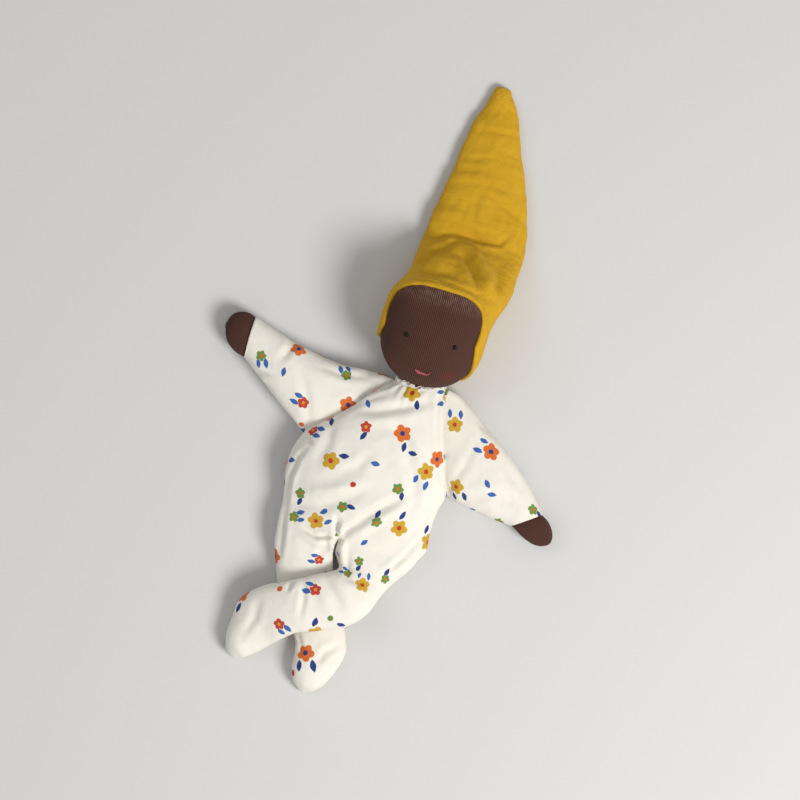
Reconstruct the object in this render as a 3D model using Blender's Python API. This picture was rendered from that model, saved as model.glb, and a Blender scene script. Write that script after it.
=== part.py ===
"""Waldorf doll lying on its back: a knitted head in a pointed hat, and a footed romper of printed cotton.

Metres, +Z up from the table. The doll looks up along +Z and its spine runs along +Y towards the head.
The origin is on the flat back of the romper, level with the armpits. Its own right side is at -X.
Every stuffed form is a cloth skin with its own wool inside, and each fold lies on the front crease.
"""
from math import cos, pi, radians, sin, sqrt

import bmesh
import bpy
from mathutils import Matrix, Vector

# Cloth, clearances and smoothness
COTTON = 0.0007
KNIT = 0.0008
MUSLIN = 0.0009
CLEARANCE = 0.0003
FOLD_GAP = 0.0006
FLAT_DEPTH = 0.0005
BODY_STEPS = 8
LIMB_STEPS = 6
HAND_STEPS = 6
HEAD_STEPS = 9
PEAK_STEPS = 7
HEM_STEPS = 26
THREAD_SIDES = 6
LOOP_STEPS = 20
MOUTH_STEPS = 8
CREASE_ANGLE = radians(60)
RIGHT, LEFT = 0, 1
SIDE_NAMES = ("right", "left")

# Romper body
TORSO_LENGTH = 0.0737
TORSO_WIDTH = 0.076
TORSO_THICKNESS = 0.026
HIP_DROP = 0.033
HIP_CREASE_HEIGHT = 0.0192
SIDE_SEAM_HEIGHT = 0.0090
RAGLAN_HEIGHT = 0.0160
COLLAR_WIDTH = 0.023
COLLAR_OFFSET = 0.0105
COLLAR_TILT = radians(7)

# Sleeves and hands
SLEEVE_THICKNESS = 0.0180
CUFF_WIDTH = 0.0203
TOP_BULGES = (-0.0028, 0.0050)
UNDER_BULGES = (0.0002, 0.0016)
CUFF_PLACES = ((-0.0713, 0.0362), (0.0804, 0.0028))
HAND_LENGTH = 0.0138
HAND_TUCK = 0.0030

# Legs
LEG_LENGTH = 0.078
LEG_WIDTH = 0.040
LEG_THICKNESS = 0.020
LEG_CROSSING_LIFT = 0.0119

# Head, neck and face
HEAD_WIDTH = 0.0478
HEAD_LENGTH = 0.0494
HEAD_THICKNESS = 0.0456
HEAD_OFFSET = 0.0075
HEAD_ABOVE_ORIGIN = TORSO_LENGTH - HIP_DROP + 0.563 * HEAD_LENGTH
HEAD_TILT = radians(6)
NECK_RADIUS = 0.0052
NECK_HEIGHT = 0.0165
NECK_STEM_LENGTH = 0.0024
NECK_SLEEVE_LENGTH = 0.0014
THREAD_RADIUS = 0.0004
GATHER_HEIGHT = 0.0124
EYE_RADIUS = 0.0011
EYE_THICKNESS = 0.0012
EYE_SPACING = 0.0234
EYE_DROP = 0.00265
MOUTH_WIDTH = 0.0082
MOUTH_CURVE = 0.0010
MOUTH_DROP = 0.0181
MOUTH_RADIUS = 0.0005

# Hat
HOOD_LENGTH = 0.9615 * HEAD_LENGTH
HOOD_WIDTH = 1.08 * HEAD_WIDTH
HOOD_HEIGHT = 0.965 * HEAD_THICKNESS
FACE_PLANE_HEIGHT = 0.0048
FACE_PLANE_RISE_SHARE = 0.37
FACE_PLANE_ROLL_SHARE = 0.10
HEM_WIDTH = 0.0034
HEM_THICKNESS = 0.0015
HEM_START = radians(-62)
HEM_END = radians(242)
PEAK_LENGTH = 0.074
PEAK_WIDTH = 1.008 * HEAD_WIDTH
PEAK_THICKNESS = 0.013
PEAK_OFFSET = 0.0109
PEAK_ABOVE_ORIGIN = HEAD_ABOVE_ORIGIN + 0.974 * HEAD_LENGTH
PEAK_FOLD_TILT = radians(8.8)

# Colours
CREAM = (0.80, 0.78, 0.71)
BROWN = (0.075, 0.035, 0.027)
MUSTARD = (0.60, 0.34, 0.030)
WOOL = (0.72, 0.68, 0.60)
WHITE_THREAD = (0.82, 0.80, 0.76)
BLACK_THREAD = (0.010, 0.009, 0.010)
PINK_THREAD = (0.50, 0.16, 0.15)

# Torso from hip to armpit: height above the hip, right edge, left edge, crown
TORSO_SHARES = (
    (0.00, -0.390, 0.522, 0.73),
    (0.08, -0.405, 0.545, 0.83),
    (0.21, -0.445, 0.525, 0.93),
    (0.34, -0.460, 0.522, 0.98),
    (0.47, -0.430, 0.540, 1.00),
)
RIGHT_ARMPIT_RISE_SHARE = 0.03

# Torso beside the raglan seams: way up the seam, crown, front seam, back seam, lift of the back
RAGLAN_SHARES = (
    (0.18, 0.99, 0.81, 0.19, 0.00),
    (0.45, 0.96, 0.97, 0.16, 0.00),
    (0.75, 0.92, 1.00, 0.28, 0.10),
    (1.00, 0.855, 1.00, 0.69, 0.35),
)

# Sleeve: way to the cuff, height, top seam, underarm seam
SLEEVE_SHARES = (
    (0.00, 0.86, 0.62, 0.46),
    (0.14, 0.95, 0.56, 0.44),
    (0.34, 1.00, 0.48, 0.42),
    (0.58, 0.98, 0.44, 0.42),
    (0.80, 0.90, 0.41, 0.41),
    (1.00, 0.84, 0.40, 0.40),
)

# Hand beyond the cuff: way to the finger end, width, height
HAND_SHARES = (
    (0.00, 0.96, 0.97),
    (0.35, 0.97, 1.00),
    (0.66, 0.86, 0.92),
    (0.88, 0.60, 0.70),
    (1.00, 0.26, 0.36),
)

# Right leg, which lies under: outer side and drop, inner side and drop, height
RIGHT_LEG_SHARES = (
    (-0.742, 0.000, -0.015, 0.000, 0.95),
    (-0.715, 0.110, -0.015, 0.090, 0.98),
    (-0.655, 0.225, 0.040, 0.180, 0.84),
    (-0.575, 0.325, 0.120, 0.275, 0.66),
    (-0.480, 0.425, 0.235, 0.370, 0.54),
    (-0.330, 0.545, 0.380, 0.475, 0.53),
    (-0.165, 0.645, 0.500, 0.575, 0.53),
    (-0.035, 0.720, 0.578, 0.690, 0.54),
    (0.020, 0.800, 0.558, 0.795, 0.62),
    (0.055, 0.890, 0.500, 0.890, 0.62),
    (0.115, 0.955, 0.410, 0.962, 0.48),
    (0.205, 0.992, 0.305, 0.997, 0.26),
)

# Left leg, which crosses over: inner side and drop, outer side and drop, height, lift
LEFT_LEG_SHARES = (
    (0.015, 0.000, 0.990, 0.000, 0.95, 0.00),
    (0.030, 0.090, 0.920, 0.090, 0.98, 0.00),
    (0.085, 0.180, 0.800, 0.195, 0.92, 0.05),
    (0.135, 0.245, 0.715, 0.305, 0.78, 0.50),
    (0.040, 0.295, 0.655, 0.405, 0.64, 0.94),
    (-0.110, 0.340, 0.520, 0.505, 0.60, 1.00),
    (-0.250, 0.378, 0.255, 0.590, 0.58, 1.00),
    (-0.370, 0.410, 0.000, 0.655, 0.56, 1.00),
    (-0.600, 0.475, -0.160, 0.725, 0.58, 0.72),
    (-0.800, 0.590, -0.285, 0.800, 0.62, 0.30),
    (-0.825, 0.730, -0.405, 0.875, 0.64, 0.06),
    (-0.815, 0.840, -0.505, 0.925, 0.58, 0.00),
    (-0.765, 0.918, -0.590, 0.955, 0.36, 0.00),
)

# Head skin from throat to crown, as shares of half the head's length
HEAD_SHARES = (-0.93, -0.84, -0.68, -0.47, -0.22, 0.06, 0.32, 0.56, 0.76, 0.91, 0.985)
NAPE_SHARES = HEAD_SHARES[2:6]

# Hood beyond the nape: way to the fold, offset to the left, width, crown, side seam
HOOD_SHARES = (
    (0.170, 0.010, 0.985, 1.030, 0.50),
    (0.292, 0.026, 1.000, 0.985, 0.44),
    (0.395, 0.064, 1.000, 0.930, 0.39),
    (0.467, 0.097, 0.985, 0.855, 0.34),
    (0.568, 0.126, 0.965, 0.800, 0.28),
    (0.716, 0.142, 0.955, 0.620, 0.23),
    (0.863, 0.154, 0.945, 0.430, 0.18),
)

# Peak from fold to tip: right side and way, left side and way, height
PEAK_SHARES = (
    (-0.484, 0.155, 0.430, 0.195, 0.88),
    (-0.458, 0.397, 0.315, 0.380, 0.77),
    (-0.455, 0.560, 0.180, 0.553, 0.66),
    (-0.433, 0.740, 0.044, 0.727, 0.57),
    (-0.385, 0.857, -0.054, 0.857, 0.49),
    (-0.364, 0.958, -0.168, 0.955, 0.38),
    (-0.325, 0.996, -0.245, 1.000, 0.24),
)

# Soft sections: height of a free seam, and how flat a back or a round form is
FREE_SEAM_SHARE = 0.42
FLAT_BACK_SHARE = 0.4
ROUND_BACK_SHARE = 1.0
LEAST_FIT_SHARE = 0.5


# Scene and materials

def clear_scene():
    for leftover in list(bpy.data.objects):
        bpy.data.objects.remove(leftover, do_unlink=True)


def make_material(name, colour, roughness):
    material = bpy.data.materials.new(name)
    material.use_nodes = True
    shader = material.node_tree.nodes["Principled BSDF"]
    shader.inputs["Base Color"].default_value = (*colour, 1.0)
    shader.inputs["Roughness"].default_value = roughness
    shader.inputs["Metallic"].default_value = 0.0
    return material


def make_materials():
    return {
        "cotton": make_material("printed_cotton", CREAM, 0.90),
        "knit": make_material("brown_knit", BROWN, 0.95),
        "muslin": make_material("mustard_muslin", MUSTARD, 0.95),
        "wool": make_material("wool", WOOL, 1.0),
        "white_thread": make_material("white_thread", WHITE_THREAD, 0.8),
        "black_thread": make_material("black_thread", BLACK_THREAD, 0.6),
        "pink_thread": make_material("pink_thread", PINK_THREAD, 0.7),
    }


# Soft sections and their meshes

def between(start, end, share):
    return start + (end - start) * share


def arch(edge_a, edge_b, seam_a, seam_b, peak, steps, sharpness):
    """Points from edge a to edge b along half an oval whose middle lies at the peak height."""
    points = []
    for step in range(steps + 1):
        angle = pi * step / steps
        across = (1 - cos(angle)) / 2
        level = edge_a.lerp(edge_b, across)
        seam = between(seam_a, seam_b, across)
        points.append(Vector((*level, between(seam, peak, sin(angle) ** sharpness))))
    return points


def on_floor(points, floor):
    return [Vector((point.x, point.y, max(point.z, floor))) for point in points]


class Station:
    """An upright section of a stuffed form between its two seam edges, seen from above."""

    def __init__(self, edge_a, edge_b, crown, base=-FLAT_DEPTH, seams=None, floor=0.0, back=FLAT_BACK_SHARE):
        self.edge_a = Vector(edge_a)
        self.edge_b = Vector(edge_b)
        self.crown = crown
        self.base = base
        free_seam = between(base, crown, FREE_SEAM_SHARE)
        self.seams = seams or (free_seam, free_seam)
        self.floor = floor
        self.back = back

    def plane(self):
        """The level direction square to the section."""
        along = (self.edge_b - self.edge_a).normalized()
        return Vector((along.y, -along.x, 0))

    def front_line(self, steps):
        return arch(self.edge_a, self.edge_b, *self.seams, self.crown, steps, 1)

    def back_line(self, steps):
        line = arch(self.edge_b, self.edge_a, *reversed(self.seams), self.base, steps, self.back)
        return on_floor(line, self.floor)

    def ring(self, steps):
        return self.front_line(steps) + self.back_line(steps)[1:-1]


def triangles_of(rows, wrap):
    """Index pairs of the two triangles in each cell, always cut along the same diagonal."""
    count = len(rows[0])
    for row in range(len(rows) - 1):
        for column in range(count if wrap else count - 1):
            after = (column + 1) % count
            yield (row, column), (row, after), (row + 1, after)
            yield (row, column), (row + 1, after), (row + 1, column)


def drawn_in(rows, wrap, distance, kept_planes, end_normal=None):
    """The same points moved inwards by the distance, each one staying in the planes kept for it."""
    beside = {}
    for cell in triangles_of(rows, wrap):
        first, second, third = (rows[row][column] for row, column in cell)
        normal = (second - first).cross(third - first).normalized()
        for place in cell:
            beside.setdefault(place, []).append(normal)
    middles = [sum(row, Vector()) / len(row) for row in rows]
    facing = sum(sum(normals, Vector()).dot(rows[row][column] - middles[row])
                 for (row, column), normals in beside.items())
    sign = 1 if facing > 0 else -1
    result = []
    for row, points in enumerate(rows):
        moved = []
        for column, point in enumerate(points):
            normals = [normal * sign for normal in beside[row, column]]
            if end_normal and row == len(rows) - 1:
                normals += [end_normal] * 2
            outward_way = sum(normals, Vector()).normalized()
            planes = kept_planes(row, column)
            if len(planes) == 2:
                along_both = planes[0].cross(planes[1]).normalized()
                outward_way = along_both * outward_way.dot(along_both)
            elif planes:
                outward_way -= planes[0] * outward_way.dot(planes[0])
            outward_way.normalize()
            fit = sum(outward_way.dot(normal) for normal in normals) / len(normals)
            moved.append(point - outward_way * distance / max(fit, LEAST_FIT_SHARE))
        result.append(moved)
    return result


def add_rows(mesh, rows, wrap):
    verts = [[mesh.verts.new(point) for point in row] for row in rows]
    for cell in triangles_of(rows, wrap):
        mesh.faces.new([verts[row][column] for row, column in cell])
    return verts


def join_lines(mesh, line_a, line_b, wrap):
    count = len(line_a)
    for index in range(count if wrap else count - 1):
        after = (index + 1) % count
        mesh.faces.new((line_a[index], line_a[after], line_b[after], line_b[index]))


def finish_object(name, mesh, material, pivot=None):
    bmesh.ops.recalc_face_normals(mesh, faces=mesh.faces[:])
    if mesh.calc_volume(signed=True) < 0:
        bmesh.ops.reverse_faces(mesh, faces=mesh.faces[:])
    data = bpy.data.meshes.new(name)
    mesh.to_mesh(data)
    mesh.free()
    data.materials.append(material)
    data.shade_smooth()
    data.set_sharp_from_angle(angle=CREASE_ANGLE)
    piece = bpy.data.objects.new(name, data)
    bpy.context.collection.objects.link(piece)
    if pivot:
        piece.parent = pivot
        piece.matrix_parent_inverse = pivot.matrix_world.inverted()
    return piece


def make_pivot(name, place, axis, parent=None):
    """An empty on a fold's line, with its X axis along the line."""
    pivot = bpy.data.objects.new(name, None)
    bpy.context.collection.objects.link(pivot)
    turn = Vector((1, 0, 0)).rotation_difference(axis).to_matrix().to_4x4()
    pivot.matrix_world = Matrix.Translation(place) @ turn
    bpy.context.view_layer.update()
    if parent:
        pivot.parent = parent
        pivot.matrix_parent_inverse = parent.matrix_world.inverted()
        bpy.context.view_layer.update()
    return pivot


def stuffed_solid(name, rows, material, pivot=None):
    mesh = bmesh.new()
    verts = add_rows(mesh, rows, True)
    mesh.faces.new(verts[0])
    mesh.faces.new(verts[-1])
    return finish_object(name, mesh, material, pivot)


def cloth_tube(name, outer, inner, material, pivot=None, closed=False):
    """A sewn skin, open at its first ring, and at its last one unless it is closed there."""
    mesh = bmesh.new()
    outside = add_rows(mesh, outer, True)
    inside = add_rows(mesh, inner, True)
    join_lines(mesh, outside[0], inside[0], True)
    if closed:
        mesh.faces.new(outside[-1])
        mesh.faces.new(inside[-1])
    else:
        join_lines(mesh, outside[-1], inside[-1], True)
    return finish_object(name, mesh, material, pivot)


def cloth_panel(name, outer, inner, material):
    """A sewn panel with a rim on all four sides."""
    mesh = bmesh.new()
    outside = add_rows(mesh, outer, False)
    inside = add_rows(mesh, inner, False)
    for end in (0, -1):
        join_lines(mesh, outside[end], inside[end], False)
        join_lines(mesh, [row[end] for row in outside], [row[end] for row in inside], False)
    return finish_object(name, mesh, material)


def oval_loop(name, centre, side, front, half_width, half_height, thread, material, pivot=None):
    """A closed loop of thread round an oval."""
    mesh = bmesh.new()
    rings = []
    for step in range(LOOP_STEPS):
        angle = 2 * pi * step / LOOP_STEPS
        spoke = side * cos(angle) * half_width + front * sin(angle) * half_height
        away = spoke.normalized()
        across = side.cross(front).normalized()
        ring = []
        for corner in range(THREAD_SIDES):
            turn = 2 * pi * corner / THREAD_SIDES
            ring.append(mesh.verts.new(centre + spoke + (away * cos(turn) + across * sin(turn)) * thread))
        rings.append(ring)
    for ring, following in zip(rings, rings[1:] + rings[:1]):
        join_lines(mesh, ring, following, True)
    return finish_object(name, mesh, material, pivot)


def skin_and_core(name, stations, steps, cloth, skin_material, wool, pivot, closed=False, core_share=1.0):
    """A limb's cloth skin, and the wool that fills it up to a share of its last stretch."""
    rows = [station.ring(steps) for station in stations]
    last = len(rows) - 1
    end_normal = None
    if closed:
        end_normal = (middle_of(rows[-1]) - middle_of(rows[-2])).normalized()

    def kept(row, column):
        if row == 0:
            return [stations[0].plane()]
        if row == last and not closed:
            return [stations[-1].plane()]
        return []

    inner = drawn_in(rows, True, cloth, kept, end_normal)
    core = drawn_in(rows, True, cloth + CLEARANCE, kept, end_normal)
    core[-1] = [start.lerp(end, core_share) for start, end in zip(core[-2], core[-1])]
    cloth_tube(name, rows, inner, skin_material, pivot, closed)
    stuffed_solid(name + "_stuffing", core, wool, pivot)


def middle_of(points):
    return sum(points, Vector()) / len(points)


# Landmarks shared by the pieces that are sewn together

def collar_middle():
    return Vector((COLLAR_OFFSET, TORSO_LENGTH - HIP_DROP))


def collar_end(side):
    half = Vector((cos(COLLAR_TILT), sin(COLLAR_TILT))) * COLLAR_WIDTH / 2
    return collar_middle() + (half if side == LEFT else -half)


def armpit(side):
    height, right, left, _ = TORSO_SHARES[-1]
    if side == RIGHT:
        return Vector((right * TORSO_WIDTH, (height + RIGHT_ARMPIT_RISE_SHARE) * TORSO_LENGTH - HIP_DROP))
    return Vector((left * TORSO_WIDTH, (height - RIGHT_ARMPIT_RISE_SHARE / 2) * TORSO_LENGTH - HIP_DROP))


def raglan_direction(side):
    """Along a raglan seam, so that a positive turn about it folds the arm forward."""
    along = (armpit(side) - collar_end(side)).normalized()
    return Vector((*along, 0)) if side == LEFT else Vector((*-along, 0))


def arm_side(side):
    """Level direction square to a raglan seam, away from the body."""
    along = raglan_direction(side)
    return Vector((-along.y, along.x))


def head_centre():
    return Vector((HEAD_OFFSET, HEAD_ABOVE_ORIGIN, HEAD_THICKNESS / 2 + MUSLIN + CLEARANCE - FLAT_DEPTH))


def head_side():
    return Vector((cos(HEAD_TILT), sin(HEAD_TILT), 0))


def head_up():
    """From the throat to the crown."""
    return Vector((-sin(HEAD_TILT), cos(HEAD_TILT), 0))


def neck_foot():
    return Vector((*collar_middle(), NECK_HEIGHT))


def neck_direction():
    return (head_centre() - neck_foot()).normalized()


def hat_fold_direction():
    return Vector((cos(PEAK_FOLD_TILT), sin(PEAK_FOLD_TILT), 0))


def hat_fold_middle():
    return Vector((PEAK_OFFSET, PEAK_ABOVE_ORIGIN))


# Romper body

def torso_stations():
    stations = []
    for height, right, left, crown in TORSO_SHARES[:-1]:
        level = height * TORSO_LENGTH - HIP_DROP
        if height == 0:
            level += FOLD_GAP / 2
        edges = Vector((right * TORSO_WIDTH, level)), Vector((left * TORSO_WIDTH, level))
        stations.append(Station(*edges, crown * TORSO_THICKNESS, seams=(SIDE_SEAM_HEIGHT,) * 2))
    inwards = [Vector(arm_side(side)) * -FOLD_GAP / 2 for side in (RIGHT, LEFT)]
    edges = [armpit(side) + inwards[side] for side in (RIGHT, LEFT)]
    crown = TORSO_SHARES[-1][3] * TORSO_THICKNESS
    stations.append(Station(*edges, crown, seams=(SIDE_SEAM_HEIGHT,) * 2))
    for way, crown, front, back, lift in RAGLAN_SHARES:
        edges = [armpit(side).lerp(collar_end(side), way) + inwards[side] for side in (RIGHT, LEFT)]
        base = lift * TORSO_THICKNESS - FLAT_DEPTH
        station = Station(*edges, crown * TORSO_THICKNESS, base, seams=(front * RAGLAN_HEIGHT,) * 2)
        station.back_seam = back * RAGLAN_HEIGHT
        stations.append(station)
    return stations


def torso_lines(stations, front):
    """One panel's rows, the front's from right to left and the back's from left to right.

    Beside the sleeves a panel ends on the raglan seam, and below them on the side seam.
    """
    rows = []
    for station in stations:
        raglan = hasattr(station, "back_seam")
        if front:
            seam = station.seams[0] if raglan else station.seams[0] + CLEARANCE / 2
            rows.append(arch(station.edge_a, station.edge_b, seam, seam, station.crown, BODY_STEPS, 1))
        else:
            seam = station.back_seam if raglan else station.seams[0] - CLEARANCE / 2
            line = arch(station.edge_a, station.edge_b, seam, seam, station.base, BODY_STEPS, FLAT_BACK_SHARE)
            rows.append(on_floor(line, 0)[::-1])
    return rows


def torso_kept_planes(stations, columns):
    """Rims stay in their end planes, raglan rims in the raglan plane and side rims level."""
    def kept(row, column):
        planes = []
        if row in (0, len(stations) - 1):
            planes.append(stations[row].plane())
        if column in columns:
            side = columns[column]
            if hasattr(stations[row], "back_seam"):
                planes.append(Vector((*arm_side(side), 0)))
            else:
                planes.append(Vector((0, 0, 1)))
        return planes
    return kept


def make_romper_body(materials):
    stations = torso_stations()
    for name, front in (("romper_front", True), ("romper_back", False)):
        outer = torso_lines(stations, front)
        ends = (RIGHT, LEFT) if front else (LEFT, RIGHT)
        kept = torso_kept_planes(stations, {0: ends[0], BODY_STEPS: ends[1]})
        inner = drawn_in(outer, False, COTTON, kept)
        cloth_panel(name, outer, inner, materials["cotton"])
    rows = []
    for front_line, back_line in zip(torso_lines(stations, True), torso_lines(stations, False)):
        rows.append(front_line + back_line)
    last_column = 2 * BODY_STEPS + 1

    def kept(row, column):
        if row in (0, len(stations) - 1):
            return [stations[row].plane()]
        side_seam = column in (0, BODY_STEPS, BODY_STEPS + 1, last_column)
        if side_seam and not hasattr(stations[row], "back_seam"):
            return [Vector((0, 0, 1))]
        return []

    core = drawn_in(rows, True, COTTON + CLEARANCE, kept)
    stuffed_solid("torso_stuffing", core, materials["wool"])


# Sleeves and hands

def bowed(start, end, bulge, share):
    """A point on a shallow curve from start to end, with the bulge to the left of its way."""
    straight = start.lerp(end, share)
    along = (end - start).normalized()
    return straight + Vector((-along.y, along.x)) * bulge * 4 * share * (1 - share)


def cuff_frame(side):
    """The cuff's middle, its direction away from the body, and the level way to its top seam."""
    middle = Vector(CUFF_PLACES[side])
    root = collar_end(side).lerp(armpit(side), 0.5)
    along = (middle - root).normalized()
    to_top = Vector((along.y, -along.x)) if side == RIGHT else Vector((-along.y, along.x))
    return middle, along, to_top


def sleeve_stations(side):
    away = arm_side(side) * FOLD_GAP / 2
    middle, _, to_top = cuff_frame(side)
    half = to_top * CUFF_WIDTH / 2
    turn = 1 if side == LEFT else -1
    stations = []
    for way, height, top_seam, under_seam in SLEEVE_SHARES:
        top = bowed(collar_end(side) + away, middle + half, TOP_BULGES[side] * turn, way)
        under = bowed(armpit(side) + away, middle - half, -UNDER_BULGES[side] * turn, way)
        seams = (top_seam * SLEEVE_THICKNESS, under_seam * SLEEVE_THICKNESS)
        stations.append(Station(top, under, height * SLEEVE_THICKNESS, seams=seams))
    return stations


def hand_stations(side):
    """The hand starts inside the cuff and rounds off at the fingers."""
    middle, along, to_top = cuff_frame(side)
    fit = COTTON + 2 * CLEARANCE
    cuff_height = SLEEVE_SHARES[-1][1] * SLEEVE_THICKNESS
    inside = [(-HAND_TUCK, CUFF_WIDTH / 2 - fit, cuff_height - fit)]
    outside = [(way * HAND_LENGTH, width * (CUFF_WIDTH / 2 - fit * (way == 0)), height * (cuff_height - fit))
               for way, width, height in HAND_SHARES]
    stations = []
    for reach, half, crown in inside + outside:
        place = middle + along * reach
        base = fit if reach <= 0 else between(-FLAT_DEPTH, cuff_height / 2, (1 - crown / cuff_height) ** 2)
        stations.append(Station(place + to_top * half, place - to_top * half, crown, base))
    return stations


def make_arm(side, materials):
    crease = Vector((*collar_end(side), RAGLAN_HEIGHT))
    pivot = make_pivot(SIDE_NAMES[side] + "_shoulder", crease, raglan_direction(side))
    sleeve = sleeve_stations(side)
    last_stretch = min((sleeve[-1].edge_a - sleeve[-2].edge_a).length,
                       (sleeve[-1].edge_b - sleeve[-2].edge_b).length)
    wool_share = 1 - (HAND_TUCK + 2 * CLEARANCE) / last_stretch
    skin_and_core(SIDE_NAMES[side] + "_sleeve", sleeve, LIMB_STEPS, COTTON,
                  materials["cotton"], materials["wool"], pivot, core_share=wool_share)
    skin_and_core(SIDE_NAMES[side] + "_hand", hand_stations(side), HAND_STEPS, KNIT,
                  materials["knit"], materials["wool"], pivot, closed=True)


# Legs

def leg_point(side_share, drop_share):
    return Vector((side_share * LEG_WIDTH, -HIP_DROP - FOLD_GAP / 2 - drop_share * LEG_LENGTH))


def leg_stations(side):
    if side == RIGHT:
        table = [(*row, 0.0) for row in RIGHT_LEG_SHARES]
    else:
        table = LEFT_LEG_SHARES
    stations = []
    for side_a, drop_a, side_b, drop_b, height, lift in table:
        base = lift * (LEG_CROSSING_LIFT + FLAT_DEPTH) - FLAT_DEPTH
        crown = max(base, 0) + height * LEG_THICKNESS
        stations.append(Station(leg_point(side_a, drop_a), leg_point(side_b, drop_b), crown, base))
    return stations


def make_leg(side, materials):
    crease = Vector((0, -HIP_DROP, HIP_CREASE_HEIGHT))
    pivot = make_pivot(SIDE_NAMES[side] + "_hip", crease, Vector((-1, 0, 0)))
    skin_and_core(SIDE_NAMES[side] + "_leg", leg_stations(side), LIMB_STEPS, COTTON,
                  materials["cotton"], materials["wool"], pivot, closed=True)


# Head and neck

def head_station(share, grown=0.0, floor=0.0):
    """An oval slice of the head, square to its length, grown by a cloth that lies over it."""
    reach = share * HEAD_LENGTH / 2
    round_share = sqrt(1 - share ** 2)
    half = round_share * HEAD_WIDTH / 2 + grown
    rise = round_share * HEAD_THICKNESS / 2 + grown
    centre = head_centre()
    place = (centre + head_up() * reach).xy
    side = head_side().xy
    return Station(place - side * half, place + side * half, centre.z + rise, centre.z - rise,
                   (centre.z, centre.z), floor, ROUND_BACK_SHARE)


def neck_ring(reach, radius):
    """A circle round the neck line, with its points in the order of a section's ring."""
    direction = neck_direction()
    side = head_side()
    front = side.cross(direction).normalized()
    centre = neck_foot() + direction * reach
    points = []
    for step in range(2 * HEAD_STEPS):
        angle = pi - pi * step / HEAD_STEPS
        points.append(centre + (side * cos(angle) + front * sin(angle)) * radius)
    return points


def make_neck_stem(materials, pivot):
    foot = Station(collar_middle(), collar_middle() + head_side().xy, 0)
    upright = []
    for point in neck_ring(CLEARANCE, NECK_RADIUS):
        back = foot.plane() * (point - neck_foot()).dot(foot.plane())
        upright.append(point - back + head_up() * CLEARANCE)
    rows = [upright, neck_ring(NECK_STEM_LENGTH, NECK_RADIUS)]
    stuffed_solid("neck_stem", rows, materials["wool"], pivot)


def make_head(materials, pivot):
    start = NECK_STEM_LENGTH + CLEARANCE
    rows = [neck_ring(start, NECK_RADIUS), neck_ring(start + NECK_SLEEVE_LENGTH, NECK_RADIUS)]
    rows += [head_station(share, floor=MUSLIN + CLEARANCE).ring(HEAD_STEPS) for share in HEAD_SHARES]

    def kept(row, column):
        return [neck_direction()] if row == 0 else []

    inner = drawn_in(rows, True, KNIT, kept, head_up())
    core = drawn_in(rows, True, KNIT + CLEARANCE, kept, head_up())
    cloth_tube("head_skin", rows, inner, materials["knit"], pivot, closed=True)
    stuffed_solid("head_ball", core[3:], materials["wool"], pivot)
    middle = neck_foot() + neck_direction() * (start + NECK_SLEEVE_LENGTH / 2)
    front = head_side().cross(neck_direction()).normalized()
    radius = NECK_RADIUS + CLEARANCE + THREAD_RADIUS
    oval_loop("neck_thread", middle, head_side(), front, radius, radius, THREAD_RADIUS,
              materials["white_thread"], pivot)


def face_point(side_reach, up_reach, height_above):
    """A point on the front of the head, so far to the left and towards the crown of its middle."""
    share = 1 - (2 * side_reach / HEAD_WIDTH) ** 2 - (2 * up_reach / HEAD_LENGTH) ** 2
    rise = sqrt(share) * HEAD_THICKNESS / 2 + height_above
    return head_centre() + head_side() * side_reach + head_up() * up_reach + Vector((0, 0, rise))


def face_normal(side_reach, up_reach):
    point = face_point(side_reach, up_reach, 0) - head_centre()
    across = point.dot(head_side()) / HEAD_WIDTH ** 2
    upward = point.dot(head_up()) / HEAD_LENGTH ** 2
    front = point.z / HEAD_THICKNESS ** 2
    return (head_side() * across + head_up() * upward + Vector((0, 0, front))).normalized()


def make_eye(side, materials, pivot):
    """A small stitched knot, seated on the knit."""
    reach = EYE_SPACING / 2 * (1 if side == LEFT else -1)
    normal = face_normal(reach, -EYE_DROP)
    centre = face_point(reach, -EYE_DROP, 0) + normal * (CLEARANCE + EYE_THICKNESS / 2)
    mesh = bmesh.new()
    bmesh.ops.create_icosphere(mesh, subdivisions=2, radius=1)
    scale = Matrix.Diagonal((EYE_RADIUS, EYE_RADIUS, EYE_THICKNESS / 2, 1))
    turn = Vector((0, 0, 1)).rotation_difference(normal).to_matrix().to_4x4()
    bmesh.ops.transform(mesh, matrix=Matrix.Translation(centre) @ turn @ scale, verts=mesh.verts[:])
    finish_object(SIDE_NAMES[side] + "_eye", mesh, materials["black_thread"], pivot)


def make_mouth(materials, pivot):
    """A stitched smile that follows the round of the face."""
    mesh = bmesh.new()
    rings = []
    for step in range(MOUTH_STEPS + 1):
        share = 2 * step / MOUTH_STEPS - 1
        side_reach = share * MOUTH_WIDTH / 2
        up_reach = share ** 2 * MOUTH_CURVE - MOUTH_DROP
        normal = face_normal(side_reach, up_reach)
        centre = face_point(side_reach, up_reach, 0) + normal * (CLEARANCE + MOUTH_RADIUS)
        upward = normal.cross(head_side()).normalized()
        thin = MOUTH_RADIUS * (1 - share ** 2 / 2)
        ring = []
        for corner in range(THREAD_SIDES):
            angle = 2 * pi * corner / THREAD_SIDES
            ring.append(mesh.verts.new(centre + (normal * cos(angle) + upward * sin(angle)) * thin))
        rings.append(ring)
    for ring, following in zip(rings, rings[1:]):
        join_lines(mesh, ring, following, True)
    mesh.faces.new(rings[0])
    mesh.faces.new(rings[-1])
    finish_object("mouth", mesh, materials["pink_thread"], pivot)


# Hat

def fold_edges(shift):
    """The right and left ends of the hat's fold, moved towards the tip."""
    half = hat_fold_direction().xy * PEAK_WIDTH / 2
    across = Vector((-hat_fold_direction().y, hat_fold_direction().x)) * shift
    return hat_fold_middle() - half + across, hat_fold_middle() + half + across


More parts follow.
